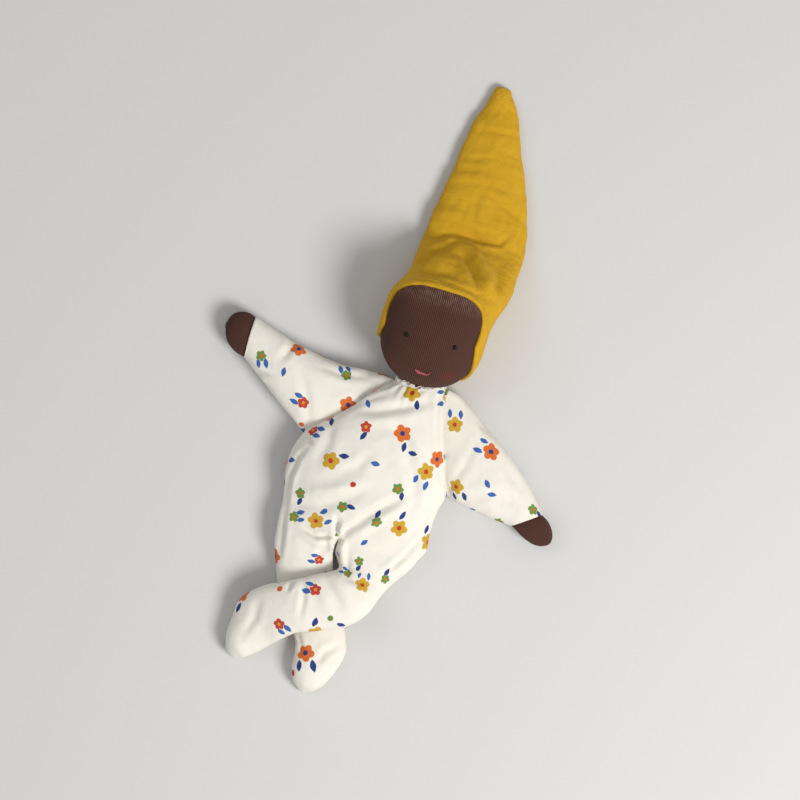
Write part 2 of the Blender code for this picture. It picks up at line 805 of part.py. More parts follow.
def hood_stations():
    grown = MUSLIN + 2 * CLEARANCE
    stations = [head_station(share, grown) for share in NAPE_SHARES]
    for way, offset, width, crown, seam in HOOD_SHARES:
        place = (head_centre() + head_up() * way * HOOD_LENGTH + head_side() * offset * HOOD_WIDTH).xy
        half = head_side().xy * width * HOOD_WIDTH / 2
        seams = (seam * HOOD_HEIGHT,) * 2
        stations.append(Station(place - half, place + half, crown * HOOD_HEIGHT, seams=seams))
    stations.append(Station(*fold_edges(-FOLD_GAP / 2), PEAK_THICKNESS))
    return stations


def face_plane():
    """A point on the plane of the hood's face opening, and its two unit directions."""
    origin = head_centre() + Vector((0, 0, FACE_PLANE_HEIGHT))
    across = (head_side() + Vector((0, 0, FACE_PLANE_ROLL_SHARE))).normalized()
    upward = (head_up() + Vector((0, 0, FACE_PLANE_RISE_SHARE))).normalized()
    return origin, across, upward


def make_face_cutter():
    """A guide block whose underside is the plane of the face opening."""
    origin, across, upward = face_plane()
    front = across.cross(upward).normalized()
    mesh = bmesh.new()
    bmesh.ops.create_cube(mesh, size=1)
    axes = Matrix((across, upward, front)).transposed().to_4x4()
    size = Matrix.Diagonal((2 * HEAD_WIDTH, 2 * HEAD_LENGTH, HEAD_THICKNESS, 1))
    place = Matrix.Translation(origin + front * HEAD_THICKNESS / 2)
    bmesh.ops.transform(mesh, matrix=place @ axes @ size, verts=mesh.verts[:])
    bmesh.ops.recalc_face_normals(mesh, faces=mesh.faces[:])
    data = bpy.data.meshes.new("face_opening_guide")
    mesh.to_mesh(data)
    mesh.free()
    guide = bpy.data.objects.new("face_opening_guide", data)
    bpy.context.collection.objects.link(guide)
    guide.hide_render = True
    guide.display_type = "WIRE"
    return guide


def make_hood(materials, pivot):
    stations = hood_stations()
    rows = [station.ring(HEAD_STEPS) for station in stations]
    ends = {0: head_up(), len(rows) - 1: stations[-1].plane()}

    def kept(row, column):
        return [ends[row]] if row in ends else []

    inner = drawn_in(rows, True, MUSLIN, kept)
    hood = cloth_tube("hat_hood", rows, inner, materials["muslin"], pivot)
    opening = hood.modifiers.new("face_opening", "BOOLEAN")
    opening.operation = "DIFFERENCE"
    opening.solver = "EXACT"
    opening.object = make_face_cutter()


def hem_point(angle, lift, away):
    """A point beside the face opening: so high above its plane and so far out from the head."""
    origin, across, upward = face_plane()
    front = across.cross(upward).normalized()
    radii = [(size / 2 + away) for size in (HEAD_WIDTH, HEAD_LENGTH, HEAD_THICKNESS)]
    base = origin + front * lift - head_centre()
    way = across * cos(angle) + upward * sin(angle)
    axes = (head_side(), head_up(), Vector((0, 0, 1)))
    base_shares = [base.dot(axis) / radius for axis, radius in zip(axes, radii)]
    way_shares = [way.dot(axis) / radius for axis, radius in zip(axes, radii)]
    square = sum(share ** 2 for share in way_shares)
    cross = sum(one * other for one, other in zip(base_shares, way_shares))
    rest = sum(share ** 2 for share in base_shares) - 1
    reach = (-cross + sqrt(cross ** 2 - square * rest)) / square
    return head_centre() + base + way * reach


def make_hem(materials, pivot):
    """The turned edge of the hat round the face, from one side of the neck over the brow to the other."""
    mesh = bmesh.new()
    inner_away = CLEARANCE
    outer_away = CLEARANCE + HEM_THICKNESS
    low = CLEARANCE
    high = CLEARANCE + HEM_WIDTH
    middle = (inner_away + outer_away) / 2
    profile = ((low, inner_away), (low, middle), (between(low, high, 0.25), outer_away),
               (between(low, high, 0.75), outer_away), (high, middle), (high, inner_away))
    rings = []
    for step in range(HEM_STEPS + 1):
        angle = between(HEM_START, HEM_END, step / HEM_STEPS)
        rings.append([mesh.verts.new(hem_point(angle, lift, away)) for lift, away in profile])
    for ring, following in zip(rings, rings[1:]):
        join_lines(mesh, ring, following, True)
    mesh.faces.new(rings[0])
    mesh.faces.new(rings[-1])
    finish_object("hat_hem", mesh, materials["muslin"], pivot)


def make_peak(materials, head_pivot):
    """The limp cone beyond the fold, empty inside and lying flat."""
    crease = Vector((*hat_fold_middle(), PEAK_THICKNESS))
    pivot = make_pivot("hat_fold", crease, hat_fold_direction(), head_pivot)
    stations = [Station(*fold_edges(FOLD_GAP / 2), PEAK_THICKNESS)]
    for side_a, way_a, side_b, way_b, height in PEAK_SHARES:
        edge_a = hat_fold_middle() + Vector((side_a * PEAK_WIDTH, way_a * PEAK_LENGTH))
        edge_b = hat_fold_middle() + Vector((side_b * PEAK_WIDTH, way_b * PEAK_LENGTH))
        stations.append(Station(edge_a, edge_b, height * PEAK_THICKNESS))
    rows = [station.ring(PEAK_STEPS) for station in stations]
    tip = (middle_of(rows[-1]) - middle_of(rows[-2])).normalized()

    def kept(row, column):
        return [stations[0].plane()] if row == 0 else []

    inner = drawn_in(rows, True, MUSLIN, kept, tip)
    cloth_tube("hat_peak", rows, inner, materials["muslin"], pivot, closed=True)


def make_neck_gather(materials):
    """The thread that draws in the collar, seated on its rim."""
    across = Vector((cos(COLLAR_TILT), sin(COLLAR_TILT), 0))
    towards_head = Vector((-across.y, across.x, 0))
    centre = neck_foot() + towards_head * (CLEARANCE + THREAD_RADIUS)
    half_width = COLLAR_WIDTH / 2 - COTTON - THREAD_RADIUS
    oval_loop("neck_gather", centre, across, Vector((0, 0, 1)), half_width, GATHER_HEIGHT / 2,
              THREAD_RADIUS, materials["white_thread"])


def main():
    clear_scene()
    materials = make_materials()
    make_romper_body(materials)
    make_neck_gather(materials)
    for side in (RIGHT, LEFT):
        make_arm(side, materials)
        make_leg(side, materials)
    throat = Vector((*collar_middle(), NECK_HEIGHT + GATHER_HEIGHT / 2 + THREAD_RADIUS))
    nod = make_pivot("head_nod", throat, head_side())
    turn = make_pivot("head_turn", neck_foot(), neck_direction(), nod)
    make_neck_stem(materials, nod)
    make_head(materials, turn)
    for side in (RIGHT, LEFT):
        make_eye(side, materials, turn)
    make_mouth(materials, turn)
    make_hood(materials, turn)
    make_hem(materials, turn)
    make_peak(materials, turn)


main()
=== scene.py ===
"""Looks of a waldorf doll lying on its back: cloth skins, print, knit, brushed muslin and stitched face.

Metres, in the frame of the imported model: the doll looks up along +Z and its spine runs along +Y.
The romper is grown as one connected cloth and then parted where it has to bend.
"""
from math import acos, atan2, cos, exp, hypot, pi, radians, sin, sqrt

import bmesh
import bpy
from mathutils import Matrix, Vector, noise


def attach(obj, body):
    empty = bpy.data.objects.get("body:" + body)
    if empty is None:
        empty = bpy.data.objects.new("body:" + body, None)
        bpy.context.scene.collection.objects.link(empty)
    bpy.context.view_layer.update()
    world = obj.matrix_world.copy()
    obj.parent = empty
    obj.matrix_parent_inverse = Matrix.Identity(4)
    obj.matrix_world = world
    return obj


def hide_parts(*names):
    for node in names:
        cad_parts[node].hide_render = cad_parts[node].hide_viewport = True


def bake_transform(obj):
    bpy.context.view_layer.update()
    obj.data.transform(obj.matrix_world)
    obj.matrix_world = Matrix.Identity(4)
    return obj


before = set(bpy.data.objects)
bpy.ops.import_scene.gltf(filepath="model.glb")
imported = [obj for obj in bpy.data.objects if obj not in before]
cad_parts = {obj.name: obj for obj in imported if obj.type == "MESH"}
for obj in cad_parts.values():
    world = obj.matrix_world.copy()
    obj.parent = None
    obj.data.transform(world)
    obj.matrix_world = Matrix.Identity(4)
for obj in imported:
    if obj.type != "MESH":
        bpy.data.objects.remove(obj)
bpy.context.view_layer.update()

MM = 0.001
RIGHT, LEFT = 0, 1
SIDE_NAMES = ("right", "left")

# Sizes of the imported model
COTTON = 0.0007
KNIT = 0.0008
MUSLIN = 0.0009
CLEARANCE = 0.0003
FLAT_DEPTH = 0.0005
TORSO_LENGTH = 0.0737
TORSO_WIDTH = 0.076
TORSO_THICKNESS = 0.026
HIP_DROP = 0.033
SIDE_SEAM_HEIGHT = 0.0090
RAGLAN_HEIGHT = 0.0160
COLLAR_WIDTH = 0.023
COLLAR_OFFSET = 0.0105
COLLAR_TILT = radians(7)
SLEEVE_THICKNESS = 0.0180
TOP_BULGES = (-0.0028, 0.0066)
UNDER_BULGES = (0.0002, 0.0012)
LEG_LENGTH = 0.078
LEG_WIDTH = 0.040
LEG_THICKNESS = 0.020
LEG_CROSSING_LIFT = 0.0119
HEAD_WIDTH = 0.0478
HEAD_LENGTH = 0.0494
HEAD_THICKNESS = 0.0456
HEAD_OFFSET = 0.0075
HEAD_ABOVE_ORIGIN = TORSO_LENGTH - HIP_DROP + 0.563 * HEAD_LENGTH
HEAD_TILT = radians(6)
NECK_RADIUS = 0.0052
NECK_HEIGHT = 0.0165
HOOD_LENGTH = 0.9615 * HEAD_LENGTH
HOOD_WIDTH = 1.08 * HEAD_WIDTH
HOOD_HEIGHT = 0.965 * HEAD_THICKNESS
FACE_PLANE_HEIGHT = 0.0048
FACE_PLANE_RISE_SHARE = 0.37
FACE_PLANE_ROLL_SHARE = 0.10
HEM_WIDTH = 0.0034
HEM_THICKNESS = 0.0015
PEAK_LENGTH = 0.074
PEAK_WIDTH = 1.008 * HEAD_WIDTH
PEAK_THICKNESS = 0.013
PEAK_OFFSET = 0.0109
PEAK_ABOVE_ORIGIN = HEAD_ABOVE_ORIGIN + 0.974 * HEAD_LENGTH
PEAK_FOLD_TILT = radians(8.8)
EYE_SPACING = 0.0228
EYE_DROP = 0.0036
MOUTH_WIDTH = 0.0071
MOUTH_CURVE = 0.0010
MOUTH_DROP = 0.0189
MOUTH_TILT_SHARE = 0.06

# Torso from hip to armpit: height above the hip, right edge, left edge, crown
TORSO_SHARES = (
    (0.00, -0.390, 0.522, 0.73),
    (0.08, -0.405, 0.545, 0.83),
    (0.21, -0.445, 0.525, 0.93),
    (0.34, -0.460, 0.522, 0.98),
    (0.47, -0.430, 0.540, 1.00),
)
RIGHT_ARMPIT_RISE_SHARE = 0.03

# Torso beside the raglan seams: way up the seam, crown, front seam, back seam, lift of the back
RAGLAN_SHARES = (
    (0.18, 0.99, 0.81, 0.19, 0.00),
    (0.45, 0.96, 0.97, 0.16, 0.00),
    (0.75, 0.92, 1.00, 0.28, 0.10),
    (1.00, 0.855, 1.00, 0.69, 0.35),
)

# Sleeve: way to the cuff, height, top seam, underarm seam
SLEEVE_SHARES = (
    (0.00, 0.86, 0.62, 0.46),
    (0.14, 0.95, 0.56, 0.44),
    (0.34, 1.00, 0.48, 0.42),
    (0.58, 0.98, 0.44, 0.42),
    (0.80, 0.90, 0.41, 0.41),
    (1.00, 0.84, 0.40, 0.40),
)

# Cuff ends on the top and underarm seams, right and left, in millimetres
CUFF_END_PLACES = (((-72.6, 46.8), (-71.2, 26.6)), ((86.3, 8.4), (73.4, -2.3)))

# Hands from inside the cuff to the fingers: upper edge, lower edge and height, in millimetres
HAND_PLACES = (
    (((-69.5, 45.4), (-68.6, 28.0), 13.6),
     ((-72.6, 46.2), (-71.4, 27.3), 14.0),
     ((-76.4, 47.3), (-74.7, 27.5), 14.4),
     ((-80.0, 46.9), (-78.0, 28.7), 13.8),
     ((-83.2, 44.9), (-81.2, 30.8), 12.2),
     ((-84.9, 42.0), (-83.4, 33.4), 9.8),
     ((-85.3, 39.4), (-84.7, 36.4), 7.2)),
    (((83.6, 8.0), (71.6, -0.6), 13.6),
     ((86.0, 7.8), (73.9, -1.5), 14.0),
     ((89.3, 6.5), (77.4, -3.2), 14.4),
     ((92.1, 4.3), (82.2, -5.4), 13.8),
     ((94.1, 1.7), (87.2, -6.7), 12.2),
     ((95.1, -1.0), (90.9, -6.3), 9.8),
     ((95.1, -2.8), (93.3, -5.2), 7.2)),
)

# Right leg, which lies under: outer side and drop, inner side and drop, height, lift
RIGHT_LEG_SHARES = (
    (-0.742, 0.000, -0.015, 0.000, 0.95, 0),
    (-0.715, 0.110, -0.015, 0.090, 0.98, 0),
    (-0.655, 0.225, 0.040, 0.180, 0.84, 0),
    (-0.575, 0.325, 0.120, 0.275, 0.66, 0),
    (-0.480, 0.425, 0.235, 0.370, 0.54, 0),
    (-0.330, 0.545, 0.380, 0.475, 0.53, 0),
    (-0.165, 0.645, 0.500, 0.575, 0.53, 0),
    (-0.035, 0.720, 0.578, 0.690, 0.54, 0),
    (0.020, 0.800, 0.558, 0.795, 0.62, 0),
    (0.055, 0.890, 0.500, 0.890, 0.62, 0),
    (0.115, 0.955, 0.410, 0.962, 0.48, 0),
    (0.205, 0.992, 0.305, 0.997, 0.26, 0),
)

# Left leg, which crosses over: inner side and drop, outer side and drop, height, lift
LEFT_LEG_SHARES = (
    (0.015, 0.000, 0.990, 0.000, 0.95, 0.00),
    (0.030, 0.090, 0.920, 0.090, 0.98, 0.00),
    (0.085, 0.165, 0.800, 0.195, 0.92, 0.05),
    (0.140, 0.215, 0.715, 0.305, 0.78, 0.50),
    (0.040, 0.258, 0.655, 0.405, 0.64, 0.94),
    (-0.110, 0.306, 0.520, 0.505, 0.60, 1.00),
    (-0.250, 0.355, 0.255, 0.590, 0.58, 1.00),
    (-0.370, 0.400, 0.000, 0.655, 0.56, 1.00),
    (-0.600, 0.475, -0.160, 0.725, 0.58, 0.72),
    (-0.800, 0.590, -0.285, 0.800, 0.62, 0.30),
    (-0.825, 0.730, -0.405, 0.875, 0.64, 0.06),
    (-0.815, 0.840, -0.505, 0.925, 0.58, 0.00),
    (-0.765, 0.918, -0.590, 0.955, 0.36, 0.00),
)

NAPE_SHARES = (-0.68, -0.47, -0.22, 0.06)

# Hood beyond the nape: way to the fold, offset to the left, width, crown, side seam
HOOD_SHARES = (
    (0.170, 0.010, 0.985, 1.030, 0.50),
    (0.292, 0.026, 1.000, 0.985, 0.44),
    (0.395, 0.064, 1.000, 0.930, 0.39),
    (0.467, 0.097, 0.985, 0.855, 0.34),
    (0.568, 0.126, 0.965, 0.800, 0.28),
    (0.716, 0.142, 0.955, 0.620, 0.23),
    (0.863, 0.154, 0.945, 0.430, 0.18),
)

# Peak from fold to tip: right side and way, left side and way, height
PEAK_SHARES = (
    (-0.484, 0.155, 0.430, 0.195, 0.88),
    (-0.458, 0.397, 0.315, 0.380, 0.77),
    (-0.455, 0.560, 0.180, 0.553, 0.66),
    (-0.433, 0.740, 0.044, 0.727, 0.57),
    (-0.385, 0.857, -0.054, 0.857, 0.49),
    (-0.366, 0.950, -0.158, 0.950, 0.40),
    (-0.352, 0.985, -0.200, 0.987, 0.30),
)
FREE_SEAM_SHARE = 0.42
FLAT_BACK_SHARE = 0.4

# How finely the cloth is made
HALF_COLUMNS = 46
COLUMNS = 2 * HALF_COLUMNS
ROWS_PER_STATION = 15
ARMPIT_PLACE = 4
COLLAR_PLACE = 8
BRIDGE_STEPS = 16
SHOULDER_STEPS = 6
SLEEVE_RINGS = 84
LEG_RINGS = 116
HAT_COLUMNS = 132
HAT_ROWS = 190
FULL_FRONT_SHARE = 0.82
UNWRAP_METHOD = "ANGLE_BASED"
PANEL_SHIFT = 0.311
CROTCH_ANGLES = (radians(83), radians(90))
BRIDGE_SHARE = 0.12
SHOULDER_SHARE = 0.035

# Colours of cloth and thread
CREAM = (0.815, 0.79, 0.72)
PRINT_MUSTARD = (0.56, 0.34, 0.022)
PRINT_ORANGE = (0.66, 0.135, 0.018)
PRINT_RED = (0.50, 0.035, 0.025)
PRINT_GREEN = (0.13, 0.25, 0.045)
PRINT_NAVY = (0.022, 0.045, 0.20)
PRINT_BLUE = (0.045, 0.13, 0.40)
PRINT_PALE = (0.80, 0.62, 0.35)
SHADED_CREAM = (0.72, 0.67, 0.56)
FLOWER_TINTS = ((0.0, PRINT_MUSTARD), (0.30, PRINT_ORANGE), (0.52, PRINT_RED), (0.78, PRINT_GREEN))
CENTRE_TINTS = ((0.0, PRINT_RED), (0.30, PRINT_NAVY), (0.52, PRINT_MUSTARD), (0.78, PRINT_ORANGE))
SMALL_TINTS = ((0.0, PRINT_BLUE), (0.22, PRINT_NAVY), (0.58, PRINT_RED), (0.82, PRINT_GREEN),
               (0.92, PRINT_ORANGE))
LIGHT_BROWN = (0.142, 0.064, 0.046)
DARK_BROWN = (0.016, 0.006, 0.005)

# Print: spacing of the motifs in millimetres, and how far they stray and keep clear
MOTIF_SPACING = 21.0
SMALL_SPACING = 13.0
MOTIF_SCATTER_SHARE = 0.72
SMALL_SCATTER_SHARE = 0.85
CLEAR_SHARE = 0.46

# Face: where the knit is drawn tight, with painted shade between its wales and painted highlight streaks on
# them, and the blush, to the left and up from the head's middle
STRETCH_LEVEL = 14.5
STRETCH_SOFTNESS = 5.0
STRETCHED_KNIT_HIGHLIGHT = (0.38, 0.22, 0.17)
BLUSH_PLACES = ((-0.0160, -0.0170), (0.0125, -0.0176))

MUSTARD = (0.60, 0.335, 0.013)
DEEP_MUSTARD = (0.42, 0.215, 0.008)
PALE_MUSTARD = (0.72, 0.44, 0.025)
WHITE_THREAD = (0.80, 0.78, 0.72)
BLACK_THREAD = (0.012, 0.008, 0.006)
PINK_THREAD = (0.50, 0.11, 0.15)
BLUSH = (0.19, 0.032, 0.022)


# Small sums

def between(start, end, share):
    return start + (end - start) * share


def smooth(share):
    share = min(max(share, 0), 1)
    return share * share * (3 - 2 * share)


def fading(share):
    return 1 - smooth(share)


def row_at(table, place):
    """A table's row at a place counted in rows, on a smooth curve through all of them."""
    last = len(table) - 1
    index = min(int(place), last - 1)
    way = place - index
    four = [table[max(index - 1, 0)], table[index], table[index + 1], table[min(index + 2, last)]]
    result = []
    for before, start, end, after in zip(*four):
        bend = 2 * before - 5 * start + 4 * end - after
        twist = 3 * start - before - 3 * end + after
        result.append(start + ((end - before) * way + bend * way ** 2 + twist * way ** 3) / 2)
    return result


# Landmarks

def collar_end(side):
    half = Vector((cos(COLLAR_TILT), sin(COLLAR_TILT))) * COLLAR_WIDTH / 2
    middle = Vector((COLLAR_OFFSET, TORSO_LENGTH - HIP_DROP))
    return middle + (half if side == LEFT else -half)


def armpit(side):
    height, right, left, _ = TORSO_SHARES[-1]
    if side == RIGHT:
        return Vector((right * TORSO_WIDTH, (height + RIGHT_ARMPIT_RISE_SHARE) * TORSO_LENGTH - HIP_DROP))
    return Vector((left * TORSO_WIDTH, (height - RIGHT_ARMPIT_RISE_SHARE / 2) * TORSO_LENGTH - HIP_DROP))


def arm_side(side):
    """Level direction square to a raglan seam, away from the body."""
    along = (armpit(side) - collar_end(side)).normalized()
    away = Vector((-along.y, along.x, 0))
    return away if side == LEFT else -away


def head_centre():
    return Vector((HEAD_OFFSET, HEAD_ABOVE_ORIGIN, HEAD_THICKNESS / 2 + MUSLIN + CLEARANCE - FLAT_DEPTH))


def head_side():
    return Vector((cos(HEAD_TILT), sin(HEAD_TILT), 0))


def head_up():
    return Vector((-sin(HEAD_TILT), cos(HEAD_TILT), 0))


def from_head(side_reach, up_reach, front_reach):
    front = Vector((0, 0, front_reach))
    return head_centre() + head_side() * side_reach + head_up() * up_reach + front


def to_head(point):
    away = point - head_centre()
    return Vector((away.dot(head_side()), away.dot(head_up()), away.z))


def neck_foot():
    return Vector((COLLAR_OFFSET, TORSO_LENGTH - HIP_DROP, NECK_HEIGHT))


def hat_fold_middle():
    return Vector((PEAK_OFFSET, PEAK_ABOVE_ORIGIN, 0))


def hat_fold_direction():
    return Vector((cos(PEAK_FOLD_TILT), sin(PEAK_FOLD_TILT), 0))


# Stuffed sections: both edges, crown, base, seams in front, seams behind, flatness behind

def section(edge_a, edge_b, crown, base, seams, back_seams=None, flatness=FLAT_BACK_SHARE):
    return (edge_a[0], edge_a[1], edge_b[0], edge_b[1], crown, base,
            *seams, *(back_seams or seams), flatness)


def section_point(row, angle, fullness=FULL_FRONT_SHARE):
    """A point of a section: edge a at no angle, over the front to edge b at pi, and back behind."""
    across = (1 - cos(angle)) / 2
    x = between(row[0], row[2], across)
    y = between(row[1], row[3], across)
    if angle <= pi:
        seam = between(row[6], row[7], across)
        return Vector((x, y, between(seam, row[4], max(sin(angle), 0) ** fullness)))
    seam = between(row[8], row[9], across)
    level = between(seam, row[5], max(-sin(angle), 0) ** row[10])
    return Vector((x, y, max(level, 0)))


def torso_table():
    table = []
    low_seams = (SIDE_SEAM_HEIGHT, SIDE_SEAM_HEIGHT)
    for height, right, left, crown in TORSO_SHARES:
        level = height * TORSO_LENGTH - HIP_DROP
        edges = [Vector((right * TORSO_WIDTH, level)), Vector((left * TORSO_WIDTH, level))]
        if height == TORSO_SHARES[-1][0]:
            edges = [armpit(RIGHT), armpit(LEFT)]
        table.append(section(*edges, crown * TORSO_THICKNESS, -FLAT_DEPTH, low_seams))
    for way, crown, front, back, lift in RAGLAN_SHARES:
        edges = [armpit(side).lerp(collar_end(side), way) for side in (RIGHT, LEFT)]
        seams = (front * RAGLAN_HEIGHT,) * 2
        back_seams = (back * RAGLAN_HEIGHT,) * 2
        base = lift * TORSO_THICKNESS - FLAT_DEPTH
        table.append(section(*edges, crown * TORSO_THICKNESS, base, seams, back_seams))
    return table


def bowed(start, end, bulge, share):
    straight = start.lerp(end, share)
    along = (end - start).normalized()
    return straight + Vector((-along.y, along.x)) * bulge * 4 * share * (1 - share)


def cuff_ends(side):
    """The cuff's two ends from above, at the top seam and at the underarm seam."""
    return [Vector(place) * MM for place in CUFF_END_PLACES[side]]


def cuff_way(side):
    """The level direction square to the cuff, away from the body."""
    top, under = cuff_ends(side)
    along = (top - under).normalized()
    return Vector((along.y, -along.x)) if side == LEFT else Vector((-along.y, along.x))


def sleeve_table(side):
    top_end, under_end = cuff_ends(side)
    turn = 1 if side == LEFT else -1
    table = []
    for way, height, top_seam, under_seam in SLEEVE_SHARES:
        top = bowed(collar_end(side), top_end, TOP_BULGES[side] * turn, way)
        under = bowed(armpit(side), under_end, -UNDER_BULGES[side] * turn, way)
        seams = (top_seam * SLEEVE_THICKNESS, under_seam * SLEEVE_THICKNESS)
        table.append(section(top, under, height * SLEEVE_THICKNESS, -FLAT_DEPTH, seams))
    return table


def leg_table(side):
    table = []
    for side_a, drop_a, side_b, drop_b, height, lift in (RIGHT_LEG_SHARES, LEFT_LEG_SHARES)[side]:
        edges = [Vector((share * LEG_WIDTH, -HIP_DROP - drop * LEG_LENGTH))
                 for share, drop in ((side_a, drop_a), (side_b, drop_b))]
        base = lift * (LEG_CROSSING_LIFT + FLAT_DEPTH) - FLAT_DEPTH
        crown = max(base, 0) + height * LEG_THICKNESS
        seam = between(base, crown, FREE_SEAM_SHARE)
        table.append(section(*edges, crown, base, (seam, seam)))
    return table


# Cloth that is grown as one net of points, with a flat place in the print for every corner

class Cloth:
    """Points, faces with their panel and label, seams that pucker, and cuts that open a panel."""

    def __init__(self):
        self.points = []
        self.faces = []
        self.flats = []
        self.seams = set()
        self.cuts = set()

    def add(self, point):
        self.points.append(Vector(point))
        return len(self.points) - 1

    def sew(self, rows, panel, label_of):
        """Faces between rows of points, all on one panel of the pattern."""
        for place, (row, following) in enumerate(zip(rows, rows[1:])):
            for column in range(len(row) - 1):
                corners = (row[column], row[column + 1], following[column + 1], following[column])
                kept = [corner for number, corner in enumerate(corners) if corner != corners[number - 1]]
                if len(kept) > 2:
                    self.faces.append((kept, panel, label_of(place, column)))

    def cut(self, line):
        self.cuts.update(frozenset(pair) for pair in zip(line, line[1:]))


def lay_flat(cloth):
    """Unwraps every panel upright and in its true size, so that the print lies on it unstretched."""
    data = bpy.data.meshes.new("pattern")
    data.from_pydata(cloth.points, [], [corners for corners, _, _ in cloth.faces])
    panels_beside = {}
    for polygon, (_, panel, _) in zip(data.polygons, cloth.faces):
        for key in polygon.edge_keys:
            panels_beside.setdefault(key, set()).add(panel)
    for edge in data.edges:
        key = tuple(sorted(edge.vertices))
        edge.use_seam = len(panels_beside[key]) > 1 or frozenset(key) in cloth.cuts
    layer = data.uv_layers.new(name="flat")
    pattern = bpy.data.objects.new("pattern", data)
    bpy.context.collection.objects.link(pattern)
    bpy.context.view_layer.objects.active = pattern
    pattern.select_set(True)
    bpy.ops.object.mode_set(mode="EDIT")
    bpy.ops.mesh.select_all(action="SELECT")
    bpy.ops.uv.unwrap(method=UNWRAP_METHOD, margin=0)
    bpy.ops.object.mode_set(mode="OBJECT")
    layer = data.uv_layers["flat"]
    spots = [[layer.data[loop].uv.copy() for loop in polygon.loop_indices] for polygon in data.polygons]
    sums = {}
    for polygon, corner_spots, (corners, panel, _) in zip(data.polygons, spots, cloth.faces):
        total = sums.setdefault(panel, [0, 0, Vector((0, 0))])
        total[0] += polygon.area
        for place, spot in enumerate(corner_spots):
            before = corner_spots[place - 1]
            total[1] += (before.x * spot.y - spot.x * before.y) / 2
            rise = cloth.points[corners[place]].y - cloth.points[corners[place - 1]].y
            total[2] += (spot - before) * rise
    turns = {}
    for number, (panel, (area, flat_area, upward)) in enumerate(sorted(sums.items())):
        upward = upward.normalized() * sqrt(area / abs(flat_area))
        turns[panel] = (upward, Vector((number * PANEL_SHIFT, 0)))
    cloth.flats = []
    for corner_spots, (_, panel, _) in zip(spots, cloth.faces):
        upward, shift = turns[panel]
        across = Vector((upward.y, -upward.x))
        cloth.flats.append([Vector((spot.dot(across), spot.dot(upward))) + shift for spot in corner_spots])
    bpy.data.objects.remove(pattern)
    bpy.data.meshes.remove(data)


def column_angle(column, place):
    crotch = between(*CROTCH_ANGLES, min(place / ARMPIT_PLACE, 1))
    if column <= HALF_COLUMNS:
        return crotch * column / HALF_COLUMNS
    return crotch + (pi - crotch) * (column - HALF_COLUMNS) / HALF_COLUMNS


HIP_SAG = 0.0036


def grow_torso(cloth):
    """Front and back rows of the torso, which share their side points below the armpits."""
    table = torso_table()
    front = []
    back = []
    for number in range(COLLAR_PLACE * ROWS_PER_STATION + 1):
        place = number / ROWS_PER_STATION
        row = row_at(table, place)
        if place <= ARMPIT_PLACE:
            row[6:10] = (SIDE_SEAM_HEIGHT,) * 4
        front_row = []
        for column in range(COLUMNS + 1):
            angle = column_angle(column, place)
            point = section_point(row, angle)
            point.y -= HIP_SAG * sin(angle) ** 2 * fading(place / 1.6)
            front_row.append(cloth.add(point))
        back_row = []
        for column in range(COLUMNS + 1):
            angle = column_angle(column, place)
            if place <= ARMPIT_PLACE and column in (0, COLUMNS):
                back_row.append(front_row[column])
                continue
            point = section_point(row, min(2 * pi - angle, 2 * pi))
            point.y -= HIP_SAG * sin(angle) ** 2 * fading(place / 1.6)
            back_row.append(cloth.add(point))
        front.append(front_row)
        back.append(back_row)
    return front, back


def ring_after(cloth, start, shares, table, rings, settle, first_place=0.0):
    """Rings of a limb out from a ring of the body, whose misfit fades over the settling stretch."""
    first = row_at(table, first_place)
    misfit = [cloth.points[index] - section_point(first, 2 * pi * (share % 1))
              for index, share in zip(start, shares)]
    result = [list(start)]
    last = len(table) - 1
    for number in range(1, rings + 1):
        place = between(first_place, last, number / rings)
        row = row_at(table, place)
        ring = []
        for share, gap in zip(shares, misfit):
            point = section_point(row, 2 * pi * (share % 1)) + gap * fading(place / settle)
            point.z = max(point.z, 0)
            ring.append(cloth.add(point))
        result.append(ring)
    return result


def closed(row):
    return row + [row[0]]


def grow_sleeve(cloth, side, front, back):
    """A sleeve from the raglan seam to the cuff; its ring starts and ends under the arm."""
    column = 0 if side == RIGHT else COLUMNS
    armpit_row = ARMPIT_PLACE * ROWS_PER_STATION
    top = collar_end(side)
    whole = (armpit(side) - top).length
    start = []
    shares = []
    for row in range(armpit_row, len(front)):
        index = front[row][column]
        way = min((cloth.points[index].xy - top).length / whole, 1)
        start.append(index)
        shares.append(between(SHOULDER_SHARE, 0.5, acos(1 - 2 * way) / pi))
    front_top = cloth.points[front[-1][column]]
    back_top = cloth.points[back[-1][column]]
    shoulder = []
    for step in range(1, SHOULDER_STEPS):
        way = step / SHOULDER_STEPS
        point = front_top.lerp(back_top, way) + arm_side(side) * 0.6 * MM * sin(pi * way)
        index = cloth.add(point)
        shoulder.append(index)
        start.append(index)
        shares.append(between(SHOULDER_SHARE, -SHOULDER_SHARE, way))
    for row in range(len(front) - 1, armpit_row, -1):
        index = back[row][column]
        way = min((cloth.points[index].xy - top).length / whole, 1)
        start.append(index)
        shares.append(-between(SHOULDER_SHARE, 0.5, acos(1 - 2 * way) / pi))
    cloth.seams.update(start)
    rings = ring_after(cloth, start, shares, sleeve_table(side), SLEEVE_RINGS, 1.3)
    along = cuff_way(side)
    centre = sum((cloth.points[index] for index in rings[-1]), Vector()) / len(rings[-1])
    rim = rings[-1]
    for reach, narrow in CUFF_TURNS:
        ring = []
        for index in rim:
            point = centre + (cloth.points[index] - centre) * narrow
            point += Vector((*along, 0)) * reach
            point.z = max(point.z, 0)
            ring.append(cloth.add(point))
        rings.append(ring)
    rows = [closed(ring) for ring in rings]
    name = SIDE_NAMES[side] + "_sleeve"
    cloth.sew(rows, name, lambda place, column: name)
    cloth.cut([row[0] for row in rows])
    return shoulder


CUFF_TURNS = ((0.0005, 0.985), (0.0004, 0.93), (-0.0010, 0.89), (-0.0040, 0.87))


